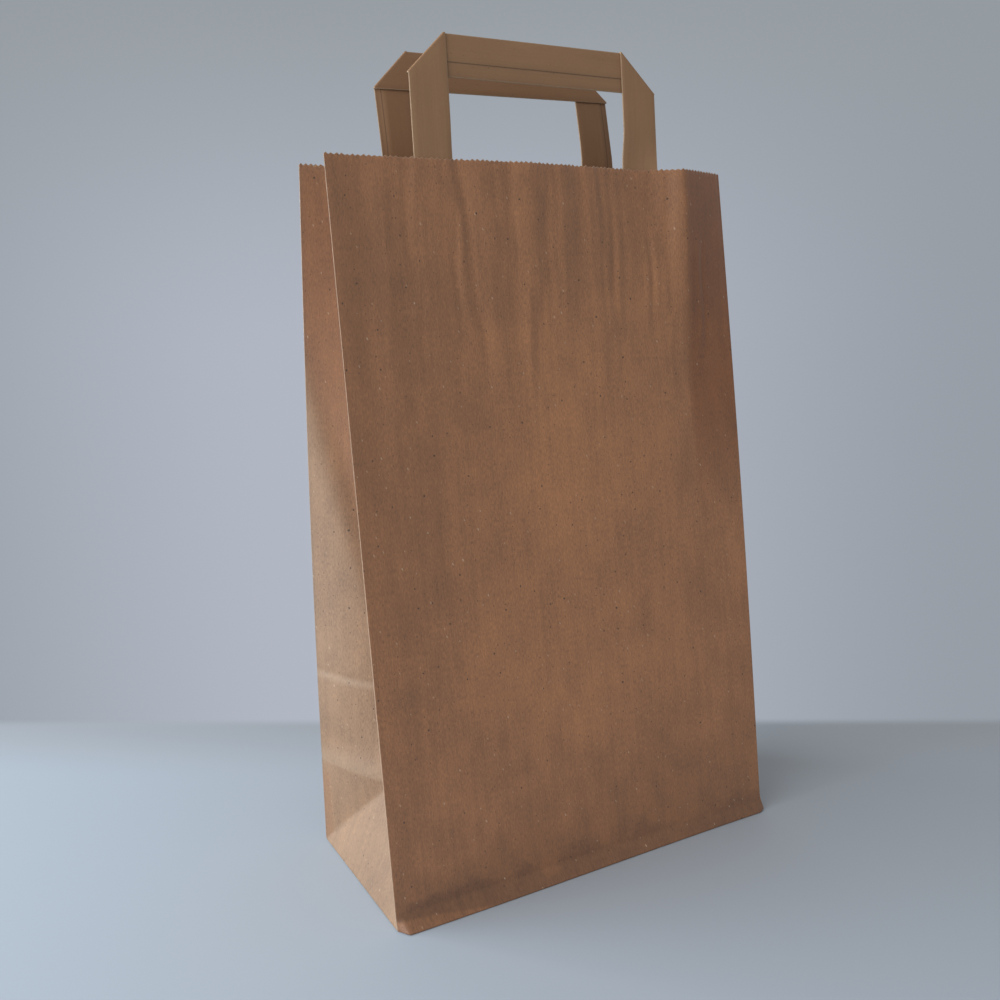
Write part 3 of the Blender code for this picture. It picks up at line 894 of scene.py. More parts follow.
    def buckles(self, x: Number, v: Number) -> Number:
        """Soft round swellings of the front panel, right of its middle and low on the left.

        Args:
            x: Place across the panel.
            v: Length of paper up from the base fold.

        Returns:
            The height.
        """
        across, up = self.right_buckle
        right = bump(np.hypot(x - across, v - up) / self.right_buckle_spread)
        across, up = self.left_buckle
        wide, tall = self.left_buckle_spread
        left = bump(np.hypot((x - across) / wide, (v - up) / tall))
        edge = smooth((self.half_width - abs(x)) / self.buckle_edge)
        return self.buckle_rise * edge * (right - self.left_buckle_share * left)

    def foot_flare(self, face: Face, x: Number, v: Number) -> Number:
        """How far the foot of a panel stands ahead of it, below the crease.

        Args:
            face: The front or the back.
            x: Place across the panel.
            v: Length of paper up from the base fold.

        Returns:
            The distance.
        """
        flare: Number = self.back_foot_flare
        if face is Face.FRONT:
            along = smooth((x + self.half_width) / self.width)
            flare = self.foot_flare_left + (self.foot_flare_right - self.foot_flare_left) * along
        corner = np.minimum((self.half_width - abs(x)) / self.foot_corner, 1.0)
        return flare * np.maximum(corner, 0.0) * np.maximum(1 - v / self.foot_height, 0.0)

    def dent(self, row: float, v: Number) -> Number:
        """How far the paper stands in along the row where the flat bag's bottom was folded up."""
        return self.crease_dent * np.exp(-abs(v - row) / self.crease_reach)

    def relief(self, face: Face, x: Number, v: Number) -> Number:
        """How far the panel stands out of the plane between its edges.

        Args:
            face: The front or the back.
            x: Place across the panel.
            v: Length of paper up from the base fold.

        Returns:
            The distance.
        """
        up = smooth((v - self.relief_foot) / (self.height - self.relief_foot))
        leg_foot = self.height - LEG_BURIED
        glued = self.over_leg(x, PATCH_RAMP) * smooth((v - leg_foot + PATCH_BELOW_LEG) / PATCH_BELOW_LEG)
        shared = self.foot_flare(face, x, v) + self.puckers(face, x, v) + EMBOSS * glued
        faded = smooth((self.crease_end - x) / self.crease_fade) if face is Face.FRONT else 1.0
        row = self.depth - self.crease_slant * (x + 0.1) if face is Face.FRONT else self.half_depth
        shared = shared - faded * self.dent(row, v)
        if face is Face.BACK:
            start = self.half_width - self.lap_from_edge - self.lap_width
            lap = np.clip((x - start) / self.lap_ramp, 0, 1)
            lap = lap * smooth((self.half_width - x) / self.lap_from_edge)
            belly = self.back_belly_rise * up * (1 - (x / self.half_width) ** 2)
            return shared + belly + self.paper * lap
        ridge = self.half_width - self.ridge_from_edge
        tent = np.where(x < ridge, bump((ridge - x) / self.ridge_spread),
                        (self.half_width - x) / self.ridge_from_edge)
        belly = bump((x - self.belly_centre) / self.belly_spread)
        belly = belly - bump(self.half_width / self.belly_spread)
        edge = smooth((self.half_width - abs(x)) / self.foot_corner)
        soft = self.buckles(x, v)
        return shared + soft + up * edge * (self.ridge_rise * tent + self.belly_rise * belly)

    def panel(self, face: Face, x: Number, v: Number, inward: Number = 0.0) -> np.ndarray:
        """Points of a panel.

        Args:
            face: The front or the back.
            x: Place across it.
            v: Length of paper up from the base fold.
            inward: Distance in from the middle of the paper.

        Returns:
            The points, in the shape of the arguments.
        """
        slope = self.setback(face) / self.height
        level = self.base_level + v * cos(asin(slope))
        bowed = np.where((np.asarray(x) > 0) | (face is Face.BACK), 1.0, 0.0)
        bow = 1 + bowed * self.edge_bow / self.half_width * np.sin(pi * v / self.height)
        out = self.half_depth - v * slope + self.relief(face, x, v) - inward
        return points(x * bow + self.corner_flare(face, x, v), face.value * out, level)

    def corner_flare(self, face: Face, x: Number, v: Number) -> Number:
        """How far the front panel's right end stands out sideways at its foot.

        Args:
            face: The front or the back.
            x: Place across the panel.
            v: Length of paper up from the base fold.

        Returns:
            The distance.
        """
        if face is Face.BACK:
            return 0.0
        low = smooth(1 - v / self.corner_flare_height) ** 2
        wide = self.corner_flare_height
        return self.corner_flare_reach * low * smooth((x - self.half_width + wide) / wide)

    def gusset_edges(self, side: Side, v: Number) -> tuple[np.ndarray, np.ndarray]:
        """A gusset's front and back edge at a height."""
        x = side.value * self.half_width
        return self.panel(Face.FRONT, x, v), self.panel(Face.BACK, x, v)

    def crease_inset(self, side: Side, v: Number) -> np.ndarray:
        """How far in the gusset's crease stands, for each half to keep its flat width.

        Args:
            side: The left or the right.
            v: Length of paper up from the base fold.

        Returns:
            The distance.
        """
        front, back = self.gusset_edges(side, v)
        gap = (back[..., 1] - front[..., 1]) / 2
        return np.sqrt(np.maximum(self.half_depth ** 2 - gap ** 2, 0.0))

    def gusset_crease(self, side: Side, v: Number) -> np.ndarray:
        """The gusset's middle crease, which keeps its own length as it runs inward to the rim.

        Args:
            side: The left or the right.
            v: Length of paper up from the base fold.

        Returns:
            The points.
        """
        front, back = self.gusset_edges(side, v)
        apex_inset = self.crease_inset(side, self.half_depth)
        climb = self.height - self.half_depth
        run = (self.crease_inset(side, self.height) - apex_inset) / climb
        rise = np.sqrt(self.half_depth ** 2 - apex_inset ** 2)
        rise = rise + (v - self.half_depth) * np.sqrt(1 - run ** 2)
        x = (front[..., 0] + back[..., 0]) / 2 - side.value * self.crease_inset(side, v)
        return points(x, (front[..., 1] + back[..., 1]) / 2, self.base_level + rise)

    def bulge(self, t: Number, v: Number) -> Number:
        """How far a gusset's rear half may stand out, below the soft bend that falls from its edge.

        Args:
            t: Place across the gusset, in half depths from its front fold.
            v: Length of paper up from the base fold.

        Returns:
            The distance.
        """
        bend = self.bulge_top - self.bulge_fall * (2 - t)
        above_crease = smooth((v - self.half_depth) / self.half_depth)
        return self.gusset_bulge * above_crease * smooth((bend - v) / self.bulge_ramp + 0.5)

    def gusset(self, side: Side, s: np.ndarray, v: np.ndarray) -> np.ndarray:
        """Points of a gusset's flat paper.

        Args:
            side: The left or the right.
            s: Place from the front edge.
            v: Length of paper up from the base fold.

        Returns:
            The points, in the shape of the arguments.
        """
        s, v = np.broadcast_arrays(np.asarray(s, float), np.asarray(v, float))
        front, back = self.gusset_edges(side, v)
        middle = self.gusset_crease(side, np.maximum(v, self.half_depth))
        t = s / self.half_depth
        climb = (v - self.half_depth) / (self.height - self.half_depth)
        belly = np.sin(pi * np.clip(t - 1, 0, 1))
        along = back - middle
        along = along / np.linalg.norm(along, axis=-1, keepdims=True)
        bulge = belly * self.bulge(t, v)
        swell = self.gusset_swell * smooth(climb) * belly
        upper = np.where((t <= 1)[..., None], between(front, middle, t), between(middle, back, t - 1))
        out_y = swell - side.value * along[..., 0] * bulge
        upper = upper + points(side.value * along[..., 1] * bulge, out_y, 0)
        apex = self.gusset_crease(side, self.half_depth)
        front_foot, back_foot = self.gusset_edges(side, 0.0)
        front_diagonal = between(front_foot, apex, v / self.half_depth)
        back_diagonal = between(back_foot, apex, v / self.half_depth)
        safe = np.maximum(v, TINY)
        gap = np.maximum(self.depth - 2 * v, TINY)
        lower = between(front_diagonal, back_diagonal, (s - v) / gap)
        lower = np.where((s < v)[..., None], between(front, front_diagonal, s / safe), lower)
        behind = between(back, back_diagonal, (self.depth - s) / safe)
        lower = np.where((s > self.depth - v)[..., None], behind, lower)
        place = np.where((v >= self.half_depth)[..., None], upper, lower)
        inside = smooth(np.minimum(s, self.depth - s) / self.gusset_edge)
        out = self.low_ridge(s, v) - inside * self.dent(self.depth, v)
        return place + points(side.value * out, 0, 0)

    def low_ridge(self, s: np.ndarray, v: np.ndarray) -> np.ndarray:
        """How far a gusset's rear half stands out over the crease at the top of the base folds.

        Args:
            s: Place from the gusset's front fold.
            v: Length of paper up from the base fold.

        Returns:
            The distance.
        """
        above = smooth(1 - (v - self.half_depth) / self.ridge_above)
        below = np.clip(1 - (self.half_depth - v) / self.ridge_below, 0, 1)
        across = np.where(s > self.half_depth, np.sin(pi * (self.depth - s) / self.half_depth), 0)
        free = smooth((v + s - self.depth) / self.ridge_clear)
        return self.ridge_over_base * across * free * np.where(v > self.half_depth, above, below)

    def walls(self) -> list[tuple[float, Callable[[np.ndarray, np.ndarray], np.ndarray]]]:
        """The four walls in order round the bag, each with its width and its mapping."""
        hw = self.half_width
        return [
            (self.width, lambda p, v: self.panel(Face.FRONT, p - hw, v)),
            (self.depth, lambda p, v: self.gusset(Side.RIGHT, p, v)),
            (self.width, lambda p, v: self.panel(Face.BACK, hw - p, v)),
            (self.depth, lambda p, v: self.gusset(Side.LEFT, self.depth - p, v)),
        ]

    def wall_places(self, number: int, length: float) -> list[float]:
        """Places of a wall's own columns, from just past its first fold to just before its last.

        Args:
            number: The wall's place in the order round the bag.
            length: The wall's width.

        Returns:
            The places, in rising order.
        """
        pitch = self.tooth_pitch / 2 if number == 0 else self.tooth_pitch
        keys = {round(pitch * i, 6) for i in range(1, round(length / pitch))}
        keys |= {self.fold_run, length - self.fold_run}
        if number % 2:
            low = [v for v in self.rows if TINY < v < self.half_depth]
            keys |= set(low) | {length - v for v in low}
            keys |= {self.half_depth - self.fold_run, self.half_depth + self.fold_run}
        if number == 2:
            start = self.lap_from_edge + self.lap_width
            keys |= {start, start - self.lap_ramp}
        kept: list[float] = []
        for key in sorted(keys):
            if not kept or key - kept[-1] > TINY * 10:
                kept.append(key)
        return kept

    def corner(self, before: np.ndarray, fold: np.ndarray, after: np.ndarray) -> list[np.ndarray]:
        """Points round a fold, in place of the sharp one, as a soft bend."""
        shares = [step / self.fold_steps for step in range(1, self.fold_steps)]
        return [before * (1 - t) ** 2 + fold * 2 * t * (1 - t) + after * t * t for t in shares]

    def build(self) -> Surface:
        """The whole sheet as one surface at the middle of the paper.

        Returns:
            The surface.
        """
        surface = Surface("bag_sheet")
        v = np.array(self.rows)[:, None]
        columns: list[np.ndarray] = []
        along: list[float] = []
        walls = self.walls()
        start = 0.0
        blocks = []
        for number, (length, point) in enumerate(walls):
            places = self.wall_places(number, length)
            block = point(np.array(places)[None, :], v)
            blocks.append((start, places, block, point(np.array([[0.0]]), v)[:, 0]))
            start += length
        for number, (start, places, block, fold) in enumerate(blocks):
            last = blocks[number - 1][2][:, -1]
            rounded = self.corner(last, fold, block[:, 0])
            for step, column in enumerate(rounded, 1):
                columns.append(column)
                along.append(start + self.fold_run * (2 * step / self.fold_steps - 1))
            columns += [block[:, i] for i in range(len(places))]
            along += [start + place for place in places]
        grid = np.stack(columns, axis=1)
        grid = self.soft_creases(grid, along)
        ring = grid[0] * ((self.half_width - self.fold_run) / self.half_width)
        ring[:, 2] = self.base_level
        low = self.corner(ring, grid[0], grid[1])
        grid = np.concatenate([np.stack([ring, *low]), grid[1:]])
        turned = [self.fold_run * (2 * step / self.fold_steps - 1) for step in range(1, self.fold_steps)]
        up = np.array([-self.fold_run, *turned, *self.rows[1:]])
        numbers = surface.add_points(grid)
        round_trip = np.concatenate([numbers, numbers[:, :1]], axis=1)
        perimeter = 2 * (self.width + self.depth)
        along_closed = np.array(along + [along[0] + perimeter])
        surface.add_grid(round_trip, along_closed, up, self.split)
        base = [(float(x) + self.half_width, BASE_FLAT + float(y)) for x, y, _ in grid[0]]
        order = list(range(len(along)))[::-1]
        surface.add_face([numbers[0, i] for i in order], [base[i] for i in order], sharp=True)
        self.add_teeth(surface, round_trip[-1], along_closed, walls)
        return surface

    def soft_creases(self, grid: np.ndarray, along: list[float]) -> np.ndarray:
        """Round the gussets' middle crease, above the apex, over one fold run each way.

        Args:
            grid: The sheet's points, one row for each height.
            along: Flat place of each column.

        Returns:
            The points, with the creases rounded.
        """
        places = np.array(along)
        above = np.array(self.rows) > self.half_depth - TINY
        for middle in (self.width + self.half_depth, 2 * self.width + self.depth + self.half_depth):
            at = int(np.argmin(abs(places - middle)))
            soft = (grid[:, at - 1] + 2 * grid[:, at] + grid[:, at + 1]) / 4
            grid[above, at] = soft[above]
        return grid

    def split(self, u: float, v: float) -> int:
        """Which diagonal a face is split on, so that the 45 degree folds stay straight.

        Args:
            u: Place round the bag on the flat paper.
            v: Length of paper up from the base fold.

        Returns:
            1 or 2 for a diagonal, 0 for none.
        """
        if v > self.half_depth:
            return 0
        for start in (self.width, 2 * self.width + self.depth):
            if start < u < start + self.half_depth:
                return 1
            if start + self.half_depth < u < start + self.depth:
                return 2
        return 0

    def add_teeth(self, surface: Surface, row: np.ndarray, along: np.ndarray,
                  walls: list[tuple[float, Callable]]) -> None:
        """Add the rim's saw teeth on the topmost row.

        Args:
            surface: The surface to add to.
            row: Vertex numbers of the row, closed round the bag.
            along: Flat place of each of them.
            walls: The four walls' widths and mappings.
        """
        start = 0.0
        draw = np.random.default_rng(TOOTH_SEED)
        for length, point in walls:
            for tooth in range(round(length / self.tooth_pitch)):
                low = start + tooth * self.tooth_pitch
                high = low + self.tooth_pitch
                middle = (low + high) / 2
                amount = self.tooth_wear * draw.uniform() ** 2
                slip = self.tooth_slip * draw.uniform(-1, 1)
                peak = point(np.array([[middle - start + slip]]), np.array([[self.height - amount]]))
                top = surface.add_points(peak)[0, 0]
                inside = [i for i in range(len(along)) if low - TINY < along[i] < high + TINY]
                for i, j in zip(inside, inside[1:]):
                    flat = [(along[i], self.valley), (along[j], self.valley), (middle, self.height)]
                    surface.add_face([row[i], row[j], top], flat)
            start += length


@dataclass
class BottomFlap:
    """One glued flap of the block bottom, a flat plate with 45 degree ends."""

    sheet: Sheet
    face: Face
    underside: float
    overlap: float = 0.020
    inset: float = 0.0004
    steps: int = 45

    def build(self) -> Surface:
        """The flap's plate, from its underside to just under the base sheet.

        Returns:
            The surface.
        """
        surface = Surface(f"{self.face.name.lower()}_bottom_flap")
        sheet = self.sheet
        length = sheet.half_depth + self.overlap / 2
        limit = sheet.half_width - self.inset
        fold = []
        for x in np.linspace(-limit, limit, self.steps):
            out = sheet.half_depth + float(sheet.foot_flare(self.face, x, 0.0)) - self.inset
            fold.append((float(x), self.face.value * out))
        edge = self.face.value * (sheet.half_depth - length)
        outline = fold + [(sheet.half_width - length, edge), (length - sheet.half_width, edge)]
        if self.face is Face.BACK:
            outline = outline[::-1]
        rings = []
        for level in (self.underside, self.underside + sheet.paper):
            rings.append(surface.add_points(np.array([(x, y, level) for x, y in outline])))
        flat = [(x + sheet.half_width, FLAP_FLAT + y) for x, y in outline]
        surface.add_face(rings[0][::-1], flat[::-1], sharp=True)
        surface.add_face(rings[1], flat, sharp=True)
        for i in range(len(outline)):
            j = (i + 1) % len(outline)
            corners = [rings[0][i], rings[0][j], rings[1][j], rings[1][i]]
            surface.add_face(corners, [flat[i], flat[j], flat[j], flat[i]], sharp=True)
        return surface


@dataclass
class Handle:
    """A handle of folded tape: two legs, two 45 degree folds and the bar."""

    sheet: Sheet
    face: Face
    rise: float
    lean: float
    skew: float
    tilt: float
    seam: float
    colour: Colour
    thickness: float = 0.0007
    lap: float = 0.00015
    fold_gap: float = 0.0001
    bend: float = 0.010
    fold_steps: int = 8
    ply_cell: float = 0.0027
    leg_cell: float = 0.004
    bar_cell: float = 0.005
    fold_margin: float = 0.002

    @property
    def outer(self) -> float:
        """Distance of a leg's outer edge from the middle."""
        return HANDLE_WIDTH / 2

    @property
    def layer(self) -> float:
        """Distance of the leg's middle from the middle of the panel's paper."""
        return self.sheet.paper / 2 + CLEARANCE + self.thickness / 2

    @property
    def fold_radius(self) -> float:
        """Radius of the 45 degree folds at the middle of the tape."""
        return self.thickness / 2 + self.lap + self.fold_gap / 2

    def point(self, x: float, h: float, inward: float) -> Vector:
        """A point of the handle, h above the rim along the tape.

        Args:
            x: Place across the panel.
            h: Height above the rim, along the tape.
            inward: Distance in from the middle of the panel's paper.

        Returns:
            The point.
        """
        sheet, face = self.sheet, self.face
        if h <= 0:
            return Vector(sheet.panel(face, x, sheet.height + h, inward))
        rim = Vector(sheet.panel(face, x, sheet.height, inward))
        left = Vector(sheet.panel(face, -self.outer, sheet.height, inward))
        right = Vector(sheet.panel(face, self.outer, sheet.height, inward))
        chord = left.lerp(right, (x + self.outer) / HANDLE_WIDTH)
        base = rim.lerp(chord, float(smooth(h / (2 * self.bend))))
        below = -sheet.setback(face) / sheet.height
        above = tan(self.lean)
        low = min(h, self.bend)
        out = below * low + (above - below) * low ** 2 / (2 * self.bend) + above * (h - low)
        tilt = self.tilt * x * float(smooth(h / self.bend))
        return base + Vector((self.skew * h, face.value * out, h * cos(self.lean) + tilt))

    def section(self) -> list[tuple[float, float]]:
        """The tape's section: place across it and distance to its lapped side, all the way round.

        Returns:
            The section's points.
        """
        half = self.thickness / 2
        width = TAPE_WIDTH
        turns = [radians(angle) for angle in (-90, -45, 0, 45, 90)]
        far = half + self.lap / 2
        ring = [(u, -half) for u in through([half, width - far], self.ply_cell)]
        ring += [(width - far + far * cos(t), self.lap / 2 + far * sin(t)) for t in turns[1:]]
        lapped = through([self.seam, width - far], self.ply_cell)
        ring += [(u, half + self.lap) for u in lapped[::-1][1:]]
        ring += [(u, half) for u in through([half, self.seam - self.lap], self.ply_cell)[::-1]]
        ring += [(half - half * cos(t), half * sin(t)) for t in turns[1:-1][::-1]]
        return ring

    def stations(self) -> list[tuple[float, Callable[[float, float], Vector]]]:
        """Every section of the tape, from one buried end to the other, with its length along it.

        Returns:
            The length along the tape and the mapping of each section.
        """
        inward = Vector((0, -self.face.value, 0))
        foot = self.rise - TAPE_WIDTH
        inner = self.outer - TAPE_WIDTH

        def leg(side: int, h: float) -> Callable[[float, float], Vector]:
            """A section of a leg."""
            return lambda u, w: (self.point(side * (self.outer - u), h, self.layer) + inward * w)

        def turn(side: int, angle: float) -> Callable[[float, float], Vector]:
            """A section of the tape as it turns over itself at a corner.

            Args:
                side: The left or the right.
                angle: How far the tape has turned over itself.

            Returns:
                The mapping of one section.
            """
            away = Vector((side, 0, 1)).normalized()
            shift = self.fold_radius * ((1 - cos(angle)) * inward + sin(angle) * away)
            lapped = cos(angle) * inward - sin(angle) * away
            return lambda u, w: (self.point(side * (self.outer - u), foot + u, self.layer)
                                 + shift + lapped * w)

        def bar(x: float) -> Callable[[float, float], Vector]:
            """A section of the bar."""
            layer = self.layer + 2 * self.fold_radius
            return lambda u, w: self.point(x, foot + u, layer) - inward * w

        margin = self.fold_margin
        heights = through([-LEG_BURIED, 0.0, self.bend, foot - margin], self.leg_cell)
        across = through([margin - inner, inner - margin], self.bar_cell)
        left = [(h + LEG_BURIED, leg(-1, h)) for h in heights]
        right = [(h + LEG_BURIED, leg(1, h)) for h in heights]
        corner = heights[-1] + LEG_BURIED + TAPE_WIDTH / 2
        angles = [pi * step / self.fold_steps for step in range(self.fold_steps + 1)]
        left += [(corner + self.fold_gap * i, turn(-1, angle)) for i, angle in enumerate(angles)]
        right += [(corner + self.fold_gap * i, turn(1, angle)) for i, angle in enumerate(angles)]
        middle = [(corner + self.bend + x + inner, bar(x)) for x in across]
        end = middle[-1][0] + self.bend + corner
        return left + middle + [(end - along, place) for along, place in right[::-1]]

    def build(self) -> Surface:
        """The tape as one closed surface.

        Returns:
            The surface.
        """
        surface = Surface(f"{self.face.name.lower()}_tape_handle")
        ring = self.section()
        shift = [LAPPED_SHIFT if (w + w_next) / 2 > 0 else 0.0
                 for (_, w), (_, w_next) in zip(ring, ring[1:] + ring[:1])]
        stations = self.stations()
        grid = np.array([[place(u, w) for u, w in ring] for _, place in stations])
        numbers = surface.add_points(grid)
        closed = np.concatenate([numbers, numbers[:, :1]], axis=1)
        across = [u for u, _ in ring] + [ring[0][0]]
        flip = self.face is Face.BACK
        for j in range(len(stations) - 1):
            for i in range(len(ring)):
                corners = [closed[j, i], closed[j, i + 1], closed[j + 1, i + 1], closed[j + 1, i]]
                low, high = stations[j][0] + shift[i], stations[j + 1][0] + shift[i]
                flat = [(across[i], low), (across[i + 1], low), (across[i + 1], high), (across[i], high)]
                if flip:
                    corners, flat = corners[::-1], flat[::-1]
                surface.add_face(corners, flat)
        for j, backward in ((0, not flip), (len(stations) - 1, flip)):
            corners = list(numbers[j])
            flat = [(u, stations[j][0]) for u, _ in ring]
            if backward:
                corners, flat = corners[::-1], flat[::-1]
            surface.add_face(corners, flat, sharp=True)
        return surface


@dataclass
class Patch:
    """The paper glued over both legs of a handle, inside a panel."""

    sheet: Sheet
    face: Face
    handle: Handle
    cell: float = 0.003

    def build(self) -> Surface:
        """The patch as one surface at the middle of its paper, which steps down beside each leg.

        Returns:
            The surface.
        """
        surface = Surface(f"{self.face.name.lower()}_reinforcement")
        sheet = self.sheet
        outer = HANDLE_WIDTH / 2
        inner = outer - TAPE_WIDTH
        half = outer + PATCH_MARGIN
        keys = [-half, -outer - PATCH_RAMP, -outer, -inner, -inner + PATCH_RAMP]
        keys += [-key for key in reversed(keys)]
        places = np.array(through(keys, self.cell))
        leg_foot = sheet.height - LEG_BURIED
        low = leg_foot - PATCH_BELOW_LEG
        rows = np.array(through([low, leg_foot, sheet.height - PATCH_BELOW_RIM], self.cell))
        x, v = places[None, :], rows[:, None]
        on_panel = sheet.paper + CLEARANCE
        on_leg = sheet.paper + 2 * CLEARANCE + self.handle.thickness + self.handle.lap
        raised = sheet.over_leg(x, PATCH_RAMP) * smooth((v - low) / PATCH_BELOW_LEG)
        grid = sheet.panel(self.face, x, v, on_panel + (on_leg - on_panel) * raised)
        numbers = surface.add_points(grid)
        along = places + half + PATCH_FLAT
        if self.face is Face.BACK:
            numbers, along = numbers[:, ::-1], along[::-1]
        surface.add_grid(numbers, along, rows)
        return surface


@dataclass
class Studio:
    """The pale table, the soft light and the camera."""

    camera_at: tuple[float, float, float] = (-0.2591, -0.4447, 0.2689)
    yaw: float = 0.4897
    pitch: float = 0.1664
    roll: float = -0.0343
    lens: float = 35.97
    sensor: float = 36.0
    line_yaw: float = 0.5739
    line_ahead: float = 0.6646
    floor_half: float = 12.0
    floor_colour: Colour = (0.462, 0.520, 0.590)
    near_wall_shade_colour: Colour = (0.40, 0.43, 0.47)
    far_colour: Colour = (0.309, 0.340, 0.382)
    near_colour: Colour = (0.440, 0.472, 0.542)
    bright_aside: float = -0.10
    top_colour: Colour = (0.296, 0.325, 0.345)
    window_colour: Colour = (0.80, 0.91, 1.0)
    window_power: float = 20.0
    side_colour: Colour = (1.0, 0.97, 0.94)
    side_power: float = 9.5
    lamp_size: float = 1.2
    fill_colour: Colour = (0.43, 0.425, 0.42)
    window_at: tuple[float, float, float] = (-1.20, 0.55, 0.70)
    side_at: tuple[float, float, float] = (-1.35, -0.50, 0.70)
    lamps_face: tuple[float, float, float] = (0.0, 0.0, 0.18)

    def ahead(self, yaw: float) -> Vector:
        """A level direction, turned from the back towards the right."""
        return Vector((sin(yaw), cos(yaw), 0))

    def backdrop(self, graph: Graph, aside: Term) -> Term:
        """The backdrop's glow at table level, painted light that is palest a little left of the middle."""
        nearby = abs(aside - self.bright_aside).ramp(0.10, 0.62, 1.0, 0.0)
        return graph.mix(nearby, self.far_colour, self.near_colour)

    def build(self) -> None:
        """Make the floor, the world, the two lamps and the camera."""
        self.make_floor()
        self.make_world()
        self.add_lamp("window", self.window_at, self.window_power, self.window_colour)
        self.add_lamp("room", self.side_at, self.side_power, self.side_colour)
        self.make_camera()

    def make_floor(self) -> None:
        """A large plane that darkens as painted shadow, then turns into the backdrop's tone past a line
        behind the bag.
        """
        half = self.floor_half
        mesh = bpy.data.meshes.new("table")
        corners = [(-half, -half, 0), (half, -half, 0), (half, half, 0), (-half, half, 0)]
        mesh.from_pydata(corners, [], [(0, 1, 2, 3)])
        floor = bpy.data.objects.new("table", mesh)
        bpy.context.scene.collection.objects.link(floor)
        material = bpy.data.materials.new("pale_table")
        graph = Graph(material)
        x, y = graph.split(graph.node("ShaderNodeNewGeometry", out="Position"))
        square = self.ahead(self.line_yaw)
        reach = x * square.x + y * square.y - square.dot(Vector(self.camera_at))
        # Painted shadow: the table darkens just before the backdrop line.
        behind = reach.ramp(self.line_ahead - 0.10, self.line_ahead)
        colour = graph.mix(behind, self.floor_colour, self.near_wall_shade_colour)
        lit = graph.node("ShaderNodeBsdfPrincipled", {"Base Color": colour, "Roughness": 0.7,
                                                      "Specular IOR Level": 0.2})
        view = self.ahead(self.yaw)
        start = self.camera_at[0] * view.y - self.camera_at[1] * view.x
        forward = x * view.x + y * view.y - view.dot(Vector(self.camera_at))
        aside = (x * view.y - y * view.x - start) / forward
        glow = graph.node("ShaderNodeEmission", {"Color": self.backdrop(graph, aside)})
        seen = graph.node("ShaderNodeLightPath", out="Is Camera Ray")
        far = reach.ramp(self.line_ahead - 0.012, self.line_ahead + 0.004) * seen
        shader = graph.node("ShaderNodeMixShader", [far, lit, glow])
        graph.node("ShaderNodeOutputMaterial", [shader])
        mesh.materials.append(material)

    def make_world(self) -> None:
        """An even warm fill, seen by the camera as a pale backdrop whose painted light darkens upward."""
        world = bpy.data.worlds.new("room")
        bpy.context.scene.world = world
        graph = Graph(world)
        x, y, z = graph.split(graph.node("ShaderNodeTexCoord", out="Generated"), 3)
        ahead = self.ahead(self.yaw)
        aside = (x * ahead.y - y * ahead.x) / (x * ahead.x + y * ahead.y).most(0.1)
        backdrop = graph.mix(z.ramp(-0.02, 0.38), self.backdrop(graph, aside), self.top_colour)
        seen = graph.node("ShaderNodeLightPath", out="Is Camera Ray")
        colour = graph.mix(seen, self.fill_colour, backdrop)
        background = graph.node("ShaderNodeBackground", {"Color": colour, "Strength": 1.0})
        graph.node("ShaderNodeOutputWorld", [background])

    def add_lamp(self, name: str, place: tuple[float, float, float], power: float,
                 colour: Colour) -> None:
        """Add a soft square lamp that faces the bag.

        Args:
            name: Name of the lamp.
            place: Its middle.
            power: Its power in watts.
            colour: Its colour.
        """
        light = bpy.data.lights.new(name, "AREA")
        light.size = self.lamp_size
        light.energy = power
        light.color = colour
        lamp = bpy.data.objects.new(name, light)
        lamp.location = place
        toward = Vector(self.lamps_face) - Vector(place)
        lamp.rotation_euler = toward.to_track_quat("-Z", "Y").to_euler()
        bpy.context.scene.collection.objects.link(lamp)

    def make_camera(self) -> None:
        """The camera, at the measured place and angle."""
        forward = Vector((sin(self.yaw) * cos(self.pitch), cos(self.yaw) * cos(self.pitch),
                          -sin(self.pitch)))
        level_right = Vector((cos(self.yaw), -sin(self.yaw), 0))
        level_up = level_right.cross(forward)
        right = cos(self.roll) * level_right + sin(self.roll) * level_up
        up = cos(self.roll) * level_up - sin(self.roll) * level_right
        data = bpy.data.cameras.new("camera")
        data.lens = self.lens
        data.sensor_width = self.sensor
        data.clip_start = 0.01
        camera = bpy.data.objects.new("camera", data)
        turn = Matrix((right, up, -forward)).transposed().to_4x4()
        camera.matrix_world = Matrix.Translation(self.camera_at) @ turn
        bpy.context.scene.collection.objects.link(camera)
        bpy.context.scene.camera = camera


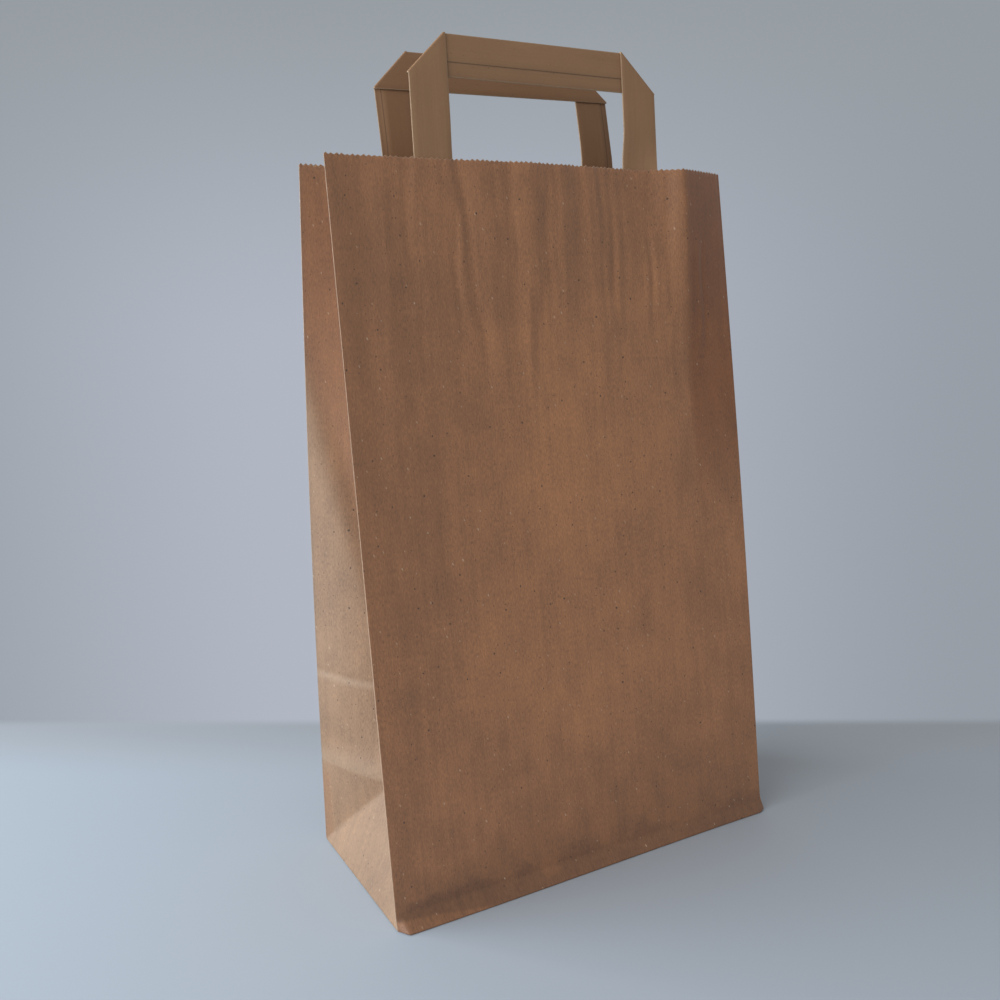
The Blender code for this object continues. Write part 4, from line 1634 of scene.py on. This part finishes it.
@dataclass
class CarrierBag:
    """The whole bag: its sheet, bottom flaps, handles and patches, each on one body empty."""

    sheet: Sheet = field(default_factory=Sheet)

    def __post_init__(self) -> None:
        """Settle the finishes and the pieces."""
        sheet = self.sheet
        folds = (0.0, sheet.width, sheet.width + sheet.depth, 2 * sheet.width + sheet.depth,
                 2 * (sheet.width + sheet.depth))
        gussets = (sheet.width + sheet.half_depth, 2 * sheet.width + sheet.depth + sheet.half_depth)
        self.kraft = KraftFinish("brown_kraft_paper", "kraft_sheet", folds_u=folds, gussets_u=gussets)
        self.patch_kraft = KraftFinish("patch_kraft_paper", "patch_paper", colour=(0.350, 0.170, 0.084),
                                       folds_u=(-1.0,), height=1.0)
        self.handles = {
            Face.FRONT: Handle(sheet, Face.FRONT, rise=0.056, lean=radians(-4.6), skew=0.016,
                               tilt=0.0, seam=0.0070, colour=(0.350, 0.198, 0.104)),
            # The back handle's tape colour is the front's made darker: painted shade, as it stands in
            # shade behind the front handle.
            Face.BACK: Handle(sheet, Face.BACK, rise=0.059, lean=radians(11.0), skew=0.002,
                              tilt=0.020, seam=0.0034, colour=(0.296, 0.164, 0.086)),
        }

    def dress(self, surface: Surface, finish: Finish, node: Optional[str]) -> bpy.types.Object:
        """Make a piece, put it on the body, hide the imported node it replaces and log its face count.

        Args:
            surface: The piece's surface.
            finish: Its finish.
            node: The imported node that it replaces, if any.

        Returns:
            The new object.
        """
        thing = surface.make(finish)
        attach(thing, "root")
        if node:
            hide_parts(node)
        LOG.info("%s: %d faces", thing.name, len(surface.faces))
        return thing

    def build(self) -> None:
        """Build every piece."""
        sheet = self.sheet
        thicken(self.dress(sheet.build(), self.kraft, "bag_body"), sheet.paper)
        self.dress(BottomFlap(sheet, Face.BACK, 0.0).build(), self.kraft, None)
        self.dress(BottomFlap(sheet, Face.FRONT, sheet.paper).build(), self.kraft, None)
        for face, handle in self.handles.items():
            name = face.name.lower()
            tape = TapeFinish(f"{name}_folded_tape", "handle_tape", seam=handle.seam,
                              colour=handle.colour)
            self.dress(handle.build(), tape, f"{name}_handle")
            patch = self.dress(Patch(sheet, face, handle).build(), self.patch_kraft, f"{name}_patch")
            thicken(patch, sheet.paper)


def main() -> None:
    """Build the bag, then the table, light and camera."""
    logging.basicConfig(level=logging.INFO, format="%(name)s: %(message)s")
    CarrierBag().build()
    Studio().build()
    bpy.context.scene.view_settings.view_transform = "Standard"


if __name__ == "__main__":
    main()
